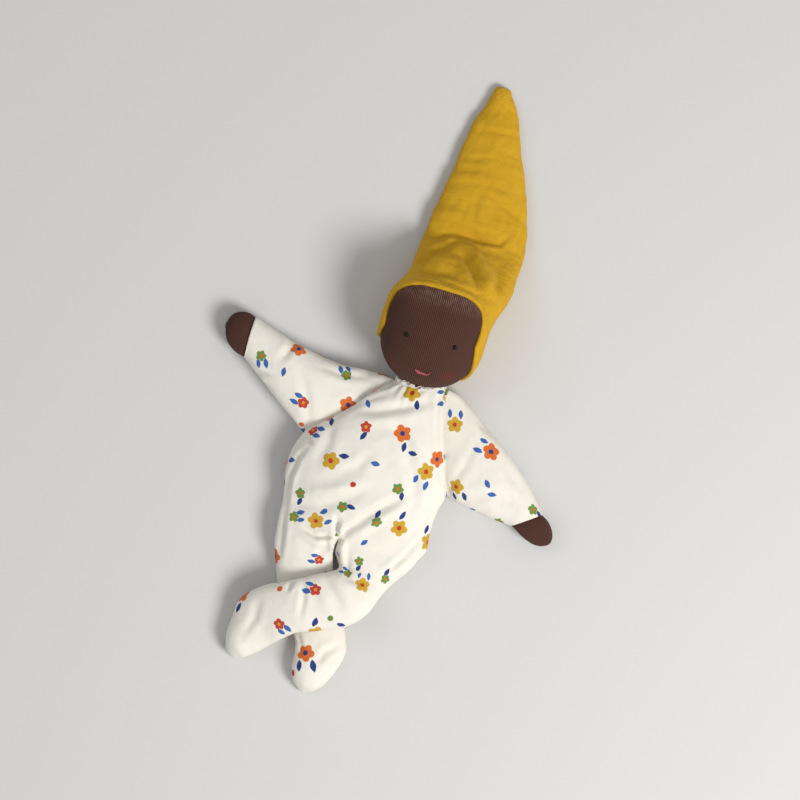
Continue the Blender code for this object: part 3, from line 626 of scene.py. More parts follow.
def grow_leg(cloth, side, front, back, bridge):
    """A leg from the torso's lowest row, closed at the toes; its ring starts at a seam."""
    if side == RIGHT:
        indices = [front[0][column] for column in range(HALF_COLUMNS + 1)]
        shares = [(0.5 - BRIDGE_SHARE) * column / HALF_COLUMNS for column in range(HALF_COLUMNS + 1)]
        indices += bridge
        shares += [0.5 - BRIDGE_SHARE + 2 * BRIDGE_SHARE * (step + 1) / BRIDGE_STEPS
                   for step in range(len(bridge))]
        for column in range(HALF_COLUMNS, 0, -1):
            indices.append(back[0][column])
            shares.append(0.5 + BRIDGE_SHARE + (0.5 - BRIDGE_SHARE) * (HALF_COLUMNS - column) / HALF_COLUMNS)
        turn_column = HALF_COLUMNS + BRIDGE_STEPS // 2
    else:
        half = BRIDGE_STEPS // 2
        first = bridge[:half][::-1]
        indices = list(first)
        shares = [BRIDGE_SHARE * step / half for step in range(half)]
        for column in range(HALF_COLUMNS, COLUMNS + 1):
            indices.append(front[0][column])
            shares.append(BRIDGE_SHARE + (0.5 - BRIDGE_SHARE) * (column - HALF_COLUMNS) / HALF_COLUMNS)
        for column in range(COLUMNS - 1, HALF_COLUMNS - 1, -1):
            indices.append(back[0][column])
            shares.append(0.5 + (0.5 - BRIDGE_SHARE) * (COLUMNS - column) / HALF_COLUMNS)
        rest = bridge[half:][::-1]
        indices += rest
        shares += [1 - BRIDGE_SHARE + BRIDGE_SHARE * (step + 1) / half for step in range(len(rest))]
        turn_column = half + HALF_COLUMNS
    rings = ring_after(cloth, indices, shares, leg_table(side), LEG_RINGS, 2.4)
    close_toes(cloth, rings)
    rows = [closed(ring) for ring in rings]
    label = SIDE_NAMES[side] + "_leg"
    cloth.sew([row[:turn_column + 1] for row in rows], "front", lambda place, column: label)
    cloth.sew([row[turn_column:] for row in rows], "back", lambda place, column: label)


TOE_TURNS = ((0.0003, 0.90), (0.0005, 0.72), (0.0007, 0.45), (0.0007, 0.20))


def close_toes(cloth, rings):
    last = rings[-1]
    centre = sum((cloth.points[index] for index in last), Vector()) / len(last)
    before = sum((cloth.points[index] for index in rings[-4]), Vector()) / len(last)
    along = (centre - before).normalized()
    for reach, narrow in TOE_TURNS:
        ring = []
        for index in last:
            point = centre + (cloth.points[index] - centre) * narrow + along * reach
            point.z = max(point.z, 0)
            ring.append(cloth.add(point))
        rings.append(ring)
    tip = cloth.add(centre + along * TOE_TURNS[-1][0])
    rings.append([tip] * len(last))


COLLAR_TURNS = ((0.0008, 1.00, 0.0003), (0.0017, 0.97, 0.0006), (0.0022, 0.90, 0.0007),
                (0.0015, 0.82, 0.0005), (-0.0008, 0.78, 0.0003), (-0.0030, 0.75, 0.0))
COLLAR_GATHERS = 17

# Where the cloth is drawn up beside the chin: middle, pull and reach, in millimetres
SHOULDER_PULLS = (((29, 42), (0.3, 5.4), 14), ((-9, 40), (0, 3.8), 15))


def drawn_up(point):
    """The place of a point of the romper once the cloth beside the chin is drawn up."""
    shift = Vector()
    for middle, pull, reach in SHOULDER_PULLS:
        gap = (point.xy / MM - Vector(middle)).length / reach
        shift += Vector((*pull, 0)) * MM * exp(-gap ** 2)
    return point + shift


def grow_collar(cloth, front, back, shoulders):
    """The neck's edge, drawn into small gathers and turned in."""
    ring = list(front[-1]) + shoulders[LEFT] + back[-1][::-1] + shoulders[RIGHT][::-1]
    centre = sum((cloth.points[index] for index in ring), Vector()) / len(ring)
    towards_head = Vector((-sin(COLLAR_TILT), cos(COLLAR_TILT), 0))
    rings = [ring]
    for reach, narrow, wave in COLLAR_TURNS:
        following = []
        for place, index in enumerate(ring):
            spoke = cloth.points[index] - centre
            turn = 2 * pi * place / len(ring)
            gather = sin(COLLAR_GATHERS * turn + 1.5 * sin(3 * turn))
            point = centre + spoke * narrow + towards_head * reach
            point += spoke.normalized() * wave * gather
            point += towards_head * wave * 0.7 * sin(5 * turn + 2)
            following.append(cloth.add(point))
        rings.append(following)
    rows = [closed(row) for row in rings]
    cloth.sew(rows, "collar", lambda place, column: "romper_body")
    cloth.cut([row[0] for row in rows])


HIP_PART_LEVEL = -0.0290
PLEAT_REACH = 0.0085
PLEAT_DEPTH = 0.00030
SEAM_DEPTH = 0.0005
ROMPER_LUMP = 0.00036
ROMPER_RIPPLE = 0.00012


def grow_romper():
    cloth = Cloth()
    front, back = grow_torso(cloth)

    def label_of(place, column):
        middle = cloth.points[front[place][HALF_COLUMNS]].y
        if middle > HIP_PART_LEVEL:
            return "romper_body"
        return "right_leg" if column < HALF_COLUMNS else "left_leg"

    cloth.sew(front, "front", label_of)
    cloth.sew(back, "back", label_of)
    front_crotch = cloth.points[front[0][HALF_COLUMNS]]
    back_crotch = cloth.points[back[0][HALF_COLUMNS]]
    bridge = []
    for step in range(1, BRIDGE_STEPS):
        way = step / BRIDGE_STEPS
        point = front_crotch.lerp(back_crotch, way) + Vector((0, -1.2 * MM * sin(pi * way), 0))
        bridge.append(cloth.add(point))
    cloth.cut([front[0][HALF_COLUMNS], *bridge, back[0][HALF_COLUMNS]])
    shoulders = {}
    for side in (RIGHT, LEFT):
        shoulders[side] = grow_sleeve(cloth, side, front, back)
        grow_leg(cloth, side, front, back, bridge)
    grow_collar(cloth, front, back, shoulders)
    cloth.points = [drawn_up(point) for point in cloth.points]
    return cloth


# Folds: label, width, depth and the points of its line, all in millimetres; a ridge has depth below 0

ROMPER_FOLDS = (
    ("body", 2.0, 0.9, ((-14, 22.6), (-4, 25.7), (7, 32.1), (16.2, 37.3), (21, 40.6))),
    ("body", 2.6, -0.8, ((-8.7, 18.5), (2.5, 23.4), (15.5, 30.5))),
    ("body", 1.1, 1.0, ((-32.3, 3), (-29.6, 1.8), (-26.8, 0.2))),
    ("body", 1.2, 1.4, ((-29, -3.4), (-30.6, -7.8), (-30.8, -18.2), (-28.6, -30))),
    ("body", 2.8, 1.4, ((-26.5, -29.5), (-10.7, -24), (0.5, -15.2), (6.6, -10.6))),
    ("body", 2.6, -0.9, ((-20, -20), (-8, -15), (3, -6))),
    ("body", 1.9, 1.5, ((1.2, -36.5), (9.2, -23.1), (15.9, -14.4), (22.3, -7.6), (25, -2))),
    ("body", 2.4, -1.1, ((7, -31), (14, -22), (22, -14))),
    ("body", 2.6, 1.3, ((14.3, 10.2), (22, 4.8), (26.4, -2.5), (27.8, -13.2))),
    ("body", 1.1, 1.4, ((0.3, -37.2), (-2.4, -31.5), (-3.6, -26))),
    ("body", 1.1, 1.3, ((1.4, -37.3), (3.4, -31.7), (6, -27.5))),
    ("body", 1.0, -1.0, ((0.6, -36), (0.3, -31), (0.8, -27))),
    ("body", 1.6, 2.2, ((0.4, -41), (0.6, -38), (0.6, -36))),
    ("right_leg", 1.3, -1.5, ((-2.4, -36.5), (1.2, -45), (4.4, -54))),
    ("left_leg", 1.3, -1.3, ((2.6, -36), (5.6, -43.5), (8.8, -51.5))),
    ("body", 1.0, -0.7, ((-1, 38.6), (-17.5, 23.8), (-30, 6))),
    ("body", 1.0, 1.2, ((-16.1, -37.6), (-9.3, -39.2), (-4.8, -37.4), (-0.7, -36.4))),
    ("body", 1.5, -0.7, ((-17, -41), (-9.3, -42), (-4, -41))),
    ("body", 1.3, 1.2, ((37.5, -8), (38, -20), (33.5, -32), (26, -46))),
    ("body", 2.4, 0.9, ((5.5, 24.3), (15.2, 16.7), (20.5, 8.7))),
    ("body", 0.9, 0.8, ((21.5, 39), (25.8, 27), (31.5, 14), (36, 5))),
    ("body", 2.4, 0.8, ((-22, 14), (-20, 4), (-22, -8))),
    ("body", 2.2, 0.7, ((2, 8), (-3, -2), (-12, -8))),
    ("sleeve", 1.8, 0.5, ((41.5, 3), (42.2, 10.4), (44, 17.4), (44.7, 27.5))),
    ("sleeve", 1.6, 0.9, ((41, 40.5), (45, 37), (49, 35.6))),
    ("sleeve", 2.4, 0.8, ((50, 3), (60, 8), (72, 7))),
    ("sleeve", 2.2, 0.7, ((57, 28), (66, 20), (76, 14))),
    ("sleeve", 1.3, 1.2, ((-69.7, 24.6), (-62.9, 22.4), (-57, 23))),
    ("sleeve", 1.8, 1.1, ((-54.4, 44), (-52.3, 39.3), (-55, 31.5))),
    ("sleeve", 2.0, 0.6, ((-30, 7), (-37, 20), (-44, 31))),
    ("sleeve", 1.8, 0.8, ((-12, 41), (-24, 36), (-36, 36))),
    ("left_leg", 1.3, 0.9, ((-7.6, -60.5), (-4.8, -67.6), (-2.6, -78))),
    ("left_leg", 1.1, 0.9, ((-13, -68.5), (-12.3, -62.5))),
    ("left_leg", 2.4, 1.1, ((-0.3, -55), (8.2, -61.6), (14.2, -68.3))),
    ("left_leg", 1.6, 0.9, ((6, -47), (13, -52), (22, -52))),
    ("left_leg", 1.8, 0.7, ((-24, -76), (-23, -86), (-25, -96))),
    ("right_leg", 1.4, 1.2, ((-28.6, -30), (-25.5, -42), (-22, -56))),
    ("right_leg", 1.8, 0.9, ((-3, -40), (-4.5, -46), (-3.5, -52))),
    ("right_leg", 1.2, 0.5, ((-1.4, -85), (2, -90.1), (4.5, -96))),
    ("right_leg", 1.6, 0.8, ((19, -84), (14, -89), (12, -96))),
)


class Fold:
    """A valley with soft banks along a line, or a ridge where its depth is below nought."""

    def __init__(self, kind, width, depth, line):
        self.kind = kind
        self.width = width
        self.depth = depth
        self.line = line
        self.whole = sum(hypot(b[0] - a[0], b[1] - a[1]) for a, b in zip(line, line[1:]))
        reach = 4 * width
        self.low = (min(x for x, _ in line) - reach, min(y for _, y in line) - reach)
        self.high = (max(x for x, _ in line) + reach, max(y for _, y in line) + reach)

    def height(self, x, y):
        if not (self.low[0] < x < self.high[0] and self.low[1] < y < self.high[1]):
            return 0.0
        nearest = None
        along = 0.0
        for start, end in zip(self.line, self.line[1:]):
            dx, dy = end[0] - start[0], end[1] - start[1]
            length = hypot(dx, dy)
            way = ((x - start[0]) * dx + (y - start[1]) * dy) / length ** 2
            way = min(max(way, 0), 1)
            gap = hypot(x - start[0] - dx * way, y - start[1] - dy * way)
            if nearest is None or gap < nearest[0]:
                nearest = (gap, (along + way * length) / self.whole)
            along += length
        gap, way = nearest
        taper = sin(pi * min(max(way, 0.02), 0.98)) ** 0.6
        valley = exp(-(gap / self.width) ** 2)
        bank = exp(-((gap - 1.9 * self.width) / self.width) ** 2)
        return self.depth * taper * (0.4 * bank - valley)


def net_normals(points, faces):
    normals = [Vector() for _ in points]
    for corners, _, _ in faces:
        first, second, third = (points[corner] for corner in corners[:3])
        if len(corners) == 4:
            normal = (third - first).cross(points[corners[3]] - second)
        else:
            normal = (second - first).cross(third - first)
        for corner in corners:
            normals[corner] += normal
    return [normal.normalized() if normal.length else Vector((0, 0, 1)) for normal in normals]


def face_outwards(cloth):
    """Turns the faces of the net the same way round, outwards."""
    mesh = bmesh.new()
    verts = [mesh.verts.new(point) for point in cloth.points]
    made = {}
    for number, (corners, _, _) in enumerate(cloth.faces):
        made[mesh.faces.new([verts[corner] for corner in corners])] = number
    mesh.verts.index_update()
    bmesh.ops.recalc_face_normals(mesh, faces=mesh.faces[:])
    for face, number in made.items():
        corners, panel, label = cloth.faces[number]
        first = face.verts[0].index
        second = face.verts[1].index
        place = corners.index(first)
        if corners[(place + 1) % len(corners)] != second:
            cloth.faces[number] = (corners[::-1], panel, label)
    mesh.free()


def labels_of_points(cloth):
    labels = {}
    for corners, _, label in cloth.faces:
        for corner in corners:
            labels.setdefault(corner, set()).add(label)
    return labels


def kinds_of(labels):
    kinds = set(labels)
    if kinds & {"romper_body", "right_leg", "left_leg"}:
        kinds.add("body")
    if kinds & {"right_sleeve", "left_sleeve"}:
        kinds.add("sleeve")
    return kinds


def collar_pleat(point):
    """The small pleats that run out from the gathered neck."""
    away = point - neck_foot()
    across = Vector((cos(COLLAR_TILT), sin(COLLAR_TILT), 0))
    below = -away.dot(Vector((-across.y, across.x, 0)))
    side = away.dot(across)
    turn = atan2(away.z * 1.6, side)
    reach = PLEAT_REACH * (1 + 0.5 * sin(4 * turn))
    close = fading(below / reach) if below > -1 * MM else 0
    return PLEAT_DEPTH * close * sin(COLLAR_GATHERS * turn + 1.5 * sin(3 * turn))


def soften(cloth, folds, lump, ripple, pleats=False):
    """Moves the net's points into folds and lumps along their normals, never below the table."""
    normals = net_normals(cloth.points, cloth.faces)
    labels = labels_of_points(cloth)
    lines = [Fold(*fold) for fold in folds]
    moved = []
    for number, (point, normal) in enumerate(zip(cloth.points, normals)):
        x, y = point.x / MM, point.y / MM
        front = min(max(normal.z * 2.2, 0), 1)
        rise = 0.0
        if front > 0:
            kinds = kinds_of(labels.get(number, ()))
            rise += sum(fold.height(x, y) for fold in lines if fold.kind in kinds) * MM * front
        if pleats and y > 22:
            rise += collar_pleat(point)
        if number in cloth.seams:
            rise -= SEAM_DEPTH
        place = point / MM
        rise += lump * noise.noise(place / 9) + ripple * noise.noise(place / 3.1 + Vector((7, 3, 1)))
        target = point + normal * rise
        target.z = max(target.z, 0)
        moved.append(target)
    cloth.points = moved


def labelled_piece(cloth, normals, label, name, material, flat_name="flat"):
    """One labelled part of the net as an object that keeps the whole net's normals."""
    numbers = {}
    points = []
    kept_normals = []
    faces = []
    flats = []
    for (corners, _, own), spots in zip(cloth.faces, cloth.flats):
        if own != label:
            continue
        face = []
        for corner in corners:
            if corner not in numbers:
                numbers[corner] = len(points)
                points.append(cloth.points[corner])
                kept_normals.append(normals[corner])
            face.append(numbers[corner])
        faces.append(face)
        flats.extend(spots)
    data = bpy.data.meshes.new(name)
    data.from_pydata(points, [], faces)
    layer = data.uv_layers.new(name=flat_name)
    for loop, spot in zip(layer.data, flats):
        loop.uv = spot
    data.materials.append(material)
    data.shade_smooth()
    data.normals_split_custom_set_from_vertices(kept_normals)
    piece = bpy.data.objects.new(name, data)
    bpy.context.collection.objects.link(piece)
    return piece


# Node sums for materials

class Wire:
    """A number in a node tree, on which sums can be done."""

    def __init__(self, tree, socket):
        self.tree = tree
        self.socket = socket

    def math(self, operation, *others):
        node = self.tree.nodes.new("ShaderNodeMath")
        node.operation = operation
        for socket, value in zip(node.inputs, (self, *others)):
            plug(self.tree, socket, value)
        return Wire(self.tree, node.outputs[0])

    def __add__(self, other):
        return self.math("ADD", other)

    def __sub__(self, other):
        return self.math("SUBTRACT", other)

    def __rsub__(self, other):
        return (self * -1) + other

    def __mul__(self, other):
        return self.math("MULTIPLY", other)

    def __truediv__(self, other):
        return self.math("DIVIDE", other)

    def __pow__(self, other):
        return self.math("POWER", other)

    def less(self, other):
        return self.math("LESS_THAN", other)

    def more(self, other):
        return self.math("GREATER_THAN", other)

    def step_down(self, edge, soft):
        """1 below the edge and 0 above it, over a soft width."""
        node = self.tree.nodes.new("ShaderNodeMapRange")
        node.interpolation_type = "SMOOTHSTEP"
        plug(self.tree, node.inputs["Value"], self)
        low = edge - soft
        high = edge + soft
        plug(self.tree, node.inputs["From Min"], low)
        plug(self.tree, node.inputs["From Max"], high)
        node.inputs["To Min"].default_value = 1.0
        node.inputs["To Max"].default_value = 0.0
        return Wire(self.tree, node.outputs["Result"])


def plug(tree, socket, value):
    if isinstance(value, Wire):
        tree.links.new(value.socket, socket)
    elif hasattr(value, "is_linked"):
        tree.links.new(value, socket)
    elif isinstance(value, tuple) and len(value) == 3 and socket.type == "RGBA":
        socket.default_value = (*value, 1.0)
    else:
        socket.default_value = value


class Paint:
    """A material being made, with short calls for the nodes that the cloths share."""

    def __init__(self, name, roughness, sheen=0.0, sheen_tint=(1.0, 1.0, 1.0)):
        self.material = bpy.data.materials.new(name)
        self.material.use_nodes = True
        self.tree = self.material.node_tree
        self.shader = self.tree.nodes["Principled BSDF"]
        self.shader.inputs["Roughness"].default_value = roughness
        self.shader.inputs["Specular IOR Level"].default_value = 0.25
        self.shader.inputs["Sheen Weight"].default_value = sheen
        self.shader.inputs["Sheen Roughness"].default_value = 0.45
        self.shader.inputs["Sheen Tint"].default_value = (*sheen_tint, 1.0)

    def node(self, kind, **inputs):
        node = self.tree.nodes.new(kind)
        for name, value in inputs.items():
            plug(self.tree, node.inputs[name.replace("_", " ")], value)
        return node

    def wire(self, socket):
        return Wire(self.tree, socket)

    def flat(self, scale=1.0):
        """The cloth's own flat place, in millimetres over the scale."""
        place = self.node("ShaderNodeUVMap")
        place.uv_map = "flat"
        sized = self.node("ShaderNodeVectorMath")
        sized.operation = "SCALE"
        self.tree.links.new(place.outputs[0], sized.inputs[0])
        sized.inputs["Scale"].default_value = 1 / MM / scale
        return sized.outputs[0]

    def solid_place(self, scale=1.0):
        place = self.node("ShaderNodeTexCoord")
        sized = self.node("ShaderNodeVectorMath")
        sized.operation = "SCALE"
        self.tree.links.new(place.outputs["Object"], sized.inputs[0])
        sized.inputs["Scale"].default_value = 1 / MM / scale
        return sized.outputs[0]

    def parts(self, vector):
        split = self.node("ShaderNodeSeparateXYZ", Vector=vector)
        return self.wire(split.outputs[0]), self.wire(split.outputs[1]), self.wire(split.outputs[2])

    def noise(self, vector, scale=1.0, detail=2.0, rough=0.5):
        node = self.node("ShaderNodeTexNoise", Vector=vector, Scale=scale, Detail=detail, Roughness=rough)
        return self.wire(node.outputs[0])

    def mix(self, share, low, high):
        node = self.node("ShaderNodeMix")
        node.data_type = "RGBA"
        plug(self.tree, node.inputs[0], share)
        plug(self.tree, node.inputs[6], low)
        plug(self.tree, node.inputs[7], high)
        return node.outputs[2]

    def bump(self, height, distance, strength=1.0, before=None):
        node = self.node("ShaderNodeBump", Height=height)
        node.inputs["Distance"].default_value = distance
        node.inputs["Strength"].default_value = strength
        if before is not None:
            self.tree.links.new(before, node.inputs["Normal"])
        return node.outputs[0]

    def finish(self, colour, normal=None, roughness=None):
        plug(self.tree, self.shader.inputs["Base Color"], colour)
        if normal is not None:
            self.tree.links.new(normal, self.shader.inputs["Normal"])
        if roughness is not None:
            plug(self.tree, self.shader.inputs["Roughness"], roughness)
        return self.material


def motif_cell(paint, spacing, scatter, place=None):
    """The nearest motif's own level place and three chances, from cells of a spacing in millimetres."""
    vector = place or paint.flat(spacing)
    cell = paint.node("ShaderNodeTexVoronoi", Vector=vector, Scale=1.0, Randomness=scatter)
    cell.voronoi_dimensions = "2D"
    gap = paint.node("ShaderNodeVectorMath")
    gap.operation = "SUBTRACT"
    paint.tree.links.new(vector, gap.inputs[0])
    paint.tree.links.new(cell.outputs["Position"], gap.inputs[1])
    sized = paint.node("ShaderNodeVectorMath")
    sized.operation = "SCALE"
    paint.tree.links.new(gap.outputs[0], sized.inputs[0])
    sized.inputs["Scale"].default_value = spacing
    chance = paint.node("ShaderNodeSeparateColor")
    paint.tree.links.new(cell.outputs["Color"], chance.inputs[0])
    chances = [paint.wire(output) for output in chance.outputs]
    turned = paint.node("ShaderNodeVectorRotate", Vector=sized.outputs[0], Angle=chances[2] * 6.2832)
    turned.rotation_type = "Z_AXIS"
    return turned.outputs[0], chances, cell


def petals(x, y, radius, half_count, depth):
    """1 inside a flower of rounded petals, and the distance from its middle."""
    away = (x * x + y * y) ** 0.5
    angle = y.math("ARCTAN2", x)
    lobes = (angle * half_count).math("COSINE").math("ABSOLUTE") * depth + (1 - depth)
    return (away / (lobes * radius)).step_down(1.0, 0.06), away


def leaf(x, y, at_x, at_y, long, wide):
    """1 inside a pointed leaf that lies along X."""
    along = (x - at_x) / long
    across = (y - at_y) / wide
    width = along * along + across.math("ABSOLUTE")
    return width.step_down(1.0, 0.10)


def chosen(paint, chance, stops):
    """One of a few print colours, picked by a chance."""
    ramp = paint.node("ShaderNodeValToRGB", Fac=chance)
    ramp.color_ramp.interpolation = "CONSTANT"
    elements = ramp.color_ramp.elements
    while len(elements) < len(stops):
        elements.new(0.5)
    for element, (place, colour) in zip(elements, stops):
        element.position = place
        element.color = (*colour, 1.0)
    return ramp.outputs[0]


def printed_cotton():
    """Cream cotton strewn with plain flowers, pairs of leaves and berries."""
    paint = Paint("printed_cotton", 0.88, 0.12)
    wobble = paint.noise(paint.flat(2.4), 1.0, 2.0)
    base_place, chances, _ = motif_cell(paint, MOTIF_SPACING, MOTIF_SCATTER_SHARE)
    x, y, _ = paint.parts(base_place)
    x = x + (wobble - 0.5) * 0.8
    y = y + (paint.noise(paint.flat(3.3), 1.0, 2.0) - 0.5) * 0.8
    kind = chances[0]
    radius = kind.less(0.52) * 1.35 + 2.75
    flower, away = petals(x, y, radius, 2.5, 0.30)
    colour = paint.mix(paint.noise(paint.flat(5.0), 1.0, 3.0) * 0.10, CREAM, SHADED_CREAM)
    leaves = leaf(x, y, radius * 1.42, radius * 0.62, 2.5, 1.2)
    more = leaf(x, y, radius * 1.25, radius * -0.72, 2.3, 1.1)
    leaves = leaves.math("MAXIMUM", more * chances[1].more(0.45))
    leaf_tint = paint.mix(chances[1].more(0.6), PRINT_NAVY, PRINT_BLUE)
    colour = paint.mix(leaves, colour, leaf_tint)
    faded = paint.noise(paint.flat(0.9), 1.0, 3.0, 0.6)
    petal_tint = paint.mix((faded - 0.42) * 0.35, chosen(paint, kind, FLOWER_TINTS), PRINT_PALE)
    colour = paint.mix(flower, colour, petal_tint)
    centre = (away / radius).step_down(0.27, 0.03)
    colour = paint.mix(centre, colour, chosen(paint, kind, CENTRE_TINTS))
    small_place, small_chances, small = motif_cell(paint, SMALL_SPACING, SMALL_SCATTER_SHARE)
    sx, sy, _ = paint.parts(small_place)
    sx = sx + (wobble - 0.5) * 0.7
    sy = sy + (wobble - 0.5) * 0.4
    reach = paint.node("ShaderNodeVectorMath")
    reach.operation = "SCALE"
    paint.tree.links.new(small.outputs["Position"], reach.inputs[0])
    reach.inputs["Scale"].default_value = SMALL_SPACING / MOTIF_SPACING
    near = paint.node("ShaderNodeTexVoronoi", Vector=reach.outputs[0], Scale=1.0)
    near.inputs["Randomness"].default_value = MOTIF_SCATTER_SHARE
    near.voronoi_dimensions = "2D"
    clear = paint.wire(near.outputs["Distance"]).more(CLEAR_SHARE)
    drop = leaf(sx, sy, 0.0, 0.0, 2.3, 1.15)
    berry = (sx * sx + sy * sy).step_down(1.7, 0.25)
    is_leaf = small_chances[0].less(0.42)
    is_berry = small_chances[0].more(0.72)
    shape = (drop * is_leaf).math("MAXIMUM", berry * is_berry) * clear
    colour = paint.mix(shape, colour, chosen(paint, small_chances[0], SMALL_TINTS))
    u, v, _ = paint.parts(paint.flat(0.34))
    weave = (u * 6.2832).math("SINE") * (v * 6.2832).math("SINE")
    slub = paint.noise(paint.flat(1.3), 1.0, 4.0, 0.7)
    height = weave * 0.5 + slub * 1.4
    normal = paint.bump(height, 0.05 * MM, 0.7)
    crumple = paint.noise(paint.flat(7.0), 1.0, 3.0, 0.55)
    normal = paint.bump(crumple, 0.9 * MM, 0.35, normal)
    return paint.finish(colour, normal, slub * 0.12 + 0.80)


def knit_height(paint, wales, courses):
    """A stocking-stitch relief: columns of Vs, from flat places in wales and courses."""
    side = wales.math("FRACT") - 0.5
    slant = side.math("ABSOLUTE")
    course = (courses + slant * 0.9) * 6.2832
    stitch = course.math("SINE") * 0.5 + 0.5
    round_wale = 1 - slant * slant * 4
    return round_wale, round_wale * (stitch * 0.55 + 0.45)


def brown_knit(name, on_face):
    paint = Paint(name, 0.95, 0.08, (0.55, 0.38, 0.32))
    paint.shader.inputs["Specular IOR Level"].default_value = 0.15
    u, v, _ = paint.parts(paint.flat(1.0))
    wander = paint.noise(paint.flat(6.0), 1.0, 2.0)
    wales = u / 0.92 + (wander - 0.5) * 0.9
    wale, stitch = knit_height(paint, wales, v / 0.74)
    patch = paint.noise(paint.flat(9.0), 1.0, 3.0)
    fibre = paint.noise(paint.flat(0.35), 1.0, 3.0, 0.7)
    # Painted shade: the stitch relief is painted into the colour, darker in the valleys between stitches and
    # wales and lighter on their crowns; fibre and patch are the yarn's own random tone.
    light = stitch * 0.55 + fibre * 0.35 + patch * 0.10
    colour = paint.mix(light, DARK_BROWN, LIGHT_BROWN)
    if on_face:
        upward = paint.node("ShaderNodeVectorMath")
        upward.operation = "DOT_PRODUCT"
        paint.tree.links.new(paint.solid_place(1.0), upward.inputs[0])
        upward.inputs[1].default_value = head_up()
        level = paint.wire(upward.outputs["Value"]) - head_centre().dot(head_up()) / MM
        drawn = 1 - level.step_down(STRETCH_LEVEL, STRETCH_SOFTNESS)
        # On the drawn-tight knit: painted shade in the opened gaps between wales and painted highlight
        # streaks along the wale crowns.
        wale_crown = wale ** 2.5
        colour = paint.mix(drawn * (1 - wale_crown) * 0.75, colour, DARK_BROWN)
        streak = paint.noise(paint.flat(3.0), 1.0, 2.0) * 1.6 - 0.15
        colour = paint.mix(drawn * wale_crown * streak * (fibre * 0.5 + 0.6), colour, STRETCHED_KNIT_HIGHLIGHT)
        for reach, rise in BLUSH_PLACES:
            spot = paint.node("ShaderNodeVectorMath")
            spot.operation = "DISTANCE"
            place = face_front(reach, rise)
            paint.tree.links.new(paint.solid_place(1.0), spot.inputs[0])
            spot.inputs[1].default_value = place / MM
            near = paint.wire(spot.outputs["Value"]).step_down(3.2, 3.2)
            colour = paint.mix(near * 0.42 * (fibre * 0.6 + 0.5), colour, BLUSH)
    normal = paint.bump(stitch, 0.30 * MM, 0.9)
    normal = paint.bump(fibre, 0.10 * MM, 0.5, normal)
    return paint.finish(colour, normal, fibre * 0.1 + 0.88)


def mustard_muslin():
    paint = Paint("mustard_muslin", 0.95, 0.16, (0.95, 0.66, 0.16))
    u, v, _ = paint.parts(paint.flat(1.0))
    broad = paint.noise(paint.flat(11.0), 1.0, 3.0)
    fuzz = paint.noise(paint.flat(0.75), 1.0, 4.0, 0.75)
    bands = paint.node("ShaderNodeTexNoise", Scale=1.0, Detail=3.0, Roughness=0.5)
    streak = paint.node("ShaderNodeCombineXYZ")
    plug(paint.tree, streak.inputs[0], u / 26.0)
    plug(paint.tree, streak.inputs[1], v / 3.4)
    paint.tree.links.new(streak.outputs[0], bands.inputs["Vector"])
    band = paint.wire(bands.outputs[0])
    thread_u = (u * 6.2832 / 0.9).math("SINE")
    thread_v = (v * 6.2832 / 0.9).math("SINE")
    weave = thread_u * thread_v
    tone = (broad * 0.25 + band * 0.30 + fuzz * 0.45 - 0.5) * 2.6 + weave * 0.08 + 0.55
    colour = paint.mix(tone, DEEP_MUSTARD, PALE_MUSTARD)
    colour = paint.mix(0.35, colour, MUSTARD)
    normal = paint.bump(fuzz * 0.8 + weave * 0.20, 0.30 * MM, 0.9)
    normal = paint.bump(band, 0.8 * MM, 0.5, normal)
    crumple = paint.noise(paint.flat(4.5), 1.0, 4.0, 0.6)
    normal = paint.bump(crumple, 1.1 * MM, 0.5, normal)
    return paint.finish(colour, normal, fuzz * 0.08 + 0.90)


def twisted_thread(name, colour, dark_share, sheen=0.1):
    paint = Paint(name, 0.8, sheen)
    fibre = paint.noise(paint.solid_place(0.18), 1.0, 3.0, 0.7)
    broad = paint.noise(paint.solid_place(1.1), 1.0, 2.0)
    dark = tuple(channel * dark_share for channel in colour)
    tint = paint.mix(fibre * 0.6 + broad * 0.4, dark, colour)
    normal = paint.bump(fibre, 0.06 * MM, 0.8)
    return paint.finish(tint, normal, fibre * 0.2 + 0.6)


# Meshes of rings

def ring_mesh(name, rows, flats, material, wrap=True):
    """An object from rows of points, each flat place given for one more column where it wraps."""
    count = len(rows[0])
    points = [point for row in rows for point in row]
    faces = []
    spots = []
    for row in range(len(rows) - 1):
        for column in range(count if wrap else count - 1):
            after = (column + 1) % count
            faces.append((row * count + column, row * count + after,
                          (row + 1) * count + after, (row + 1) * count + column))
            spots += [flats[row][column], flats[row][column + 1],
                      flats[row + 1][column + 1], flats[row + 1][column]]
    data = bpy.data.meshes.new(name)
    data.from_pydata(points, [], faces)
    layer = data.uv_layers.new(name="flat")
    for loop, spot in zip(layer.data, spots):
        loop.uv = spot
    data.materials.append(material)
    data.shade_smooth()
    piece = bpy.data.objects.new(name, data)
    bpy.context.collection.objects.link(piece)
    return piece


def clean_mesh(piece, close_ends=False):
    mesh = bmesh.new()
    mesh.from_mesh(piece.data)
    bmesh.ops.remove_doubles(mesh, verts=mesh.verts[:], dist=1e-6)
    if close_ends:
        bmesh.ops.holes_fill(mesh, edges=[edge for edge in mesh.edges if edge.is_boundary])
    bmesh.ops.recalc_face_normals(mesh, faces=mesh.faces[:])
    if close_ends and mesh.calc_volume(signed=True) < 0:
        bmesh.ops.reverse_faces(mesh, faces=mesh.faces[:])
    mesh.to_mesh(piece.data)
    mesh.free()


# Head

UPPER_SQUARE_SHARE = 2.85
LOWER_SQUARE_SHARE = 2.2
HEAD_COLUMNS = 160
HEAD_ROWS = 110
WALE_PITCH = 0.00092
HEM_ENDS = (radians(-58), radians(238))
HEM_SINK = 0.0005

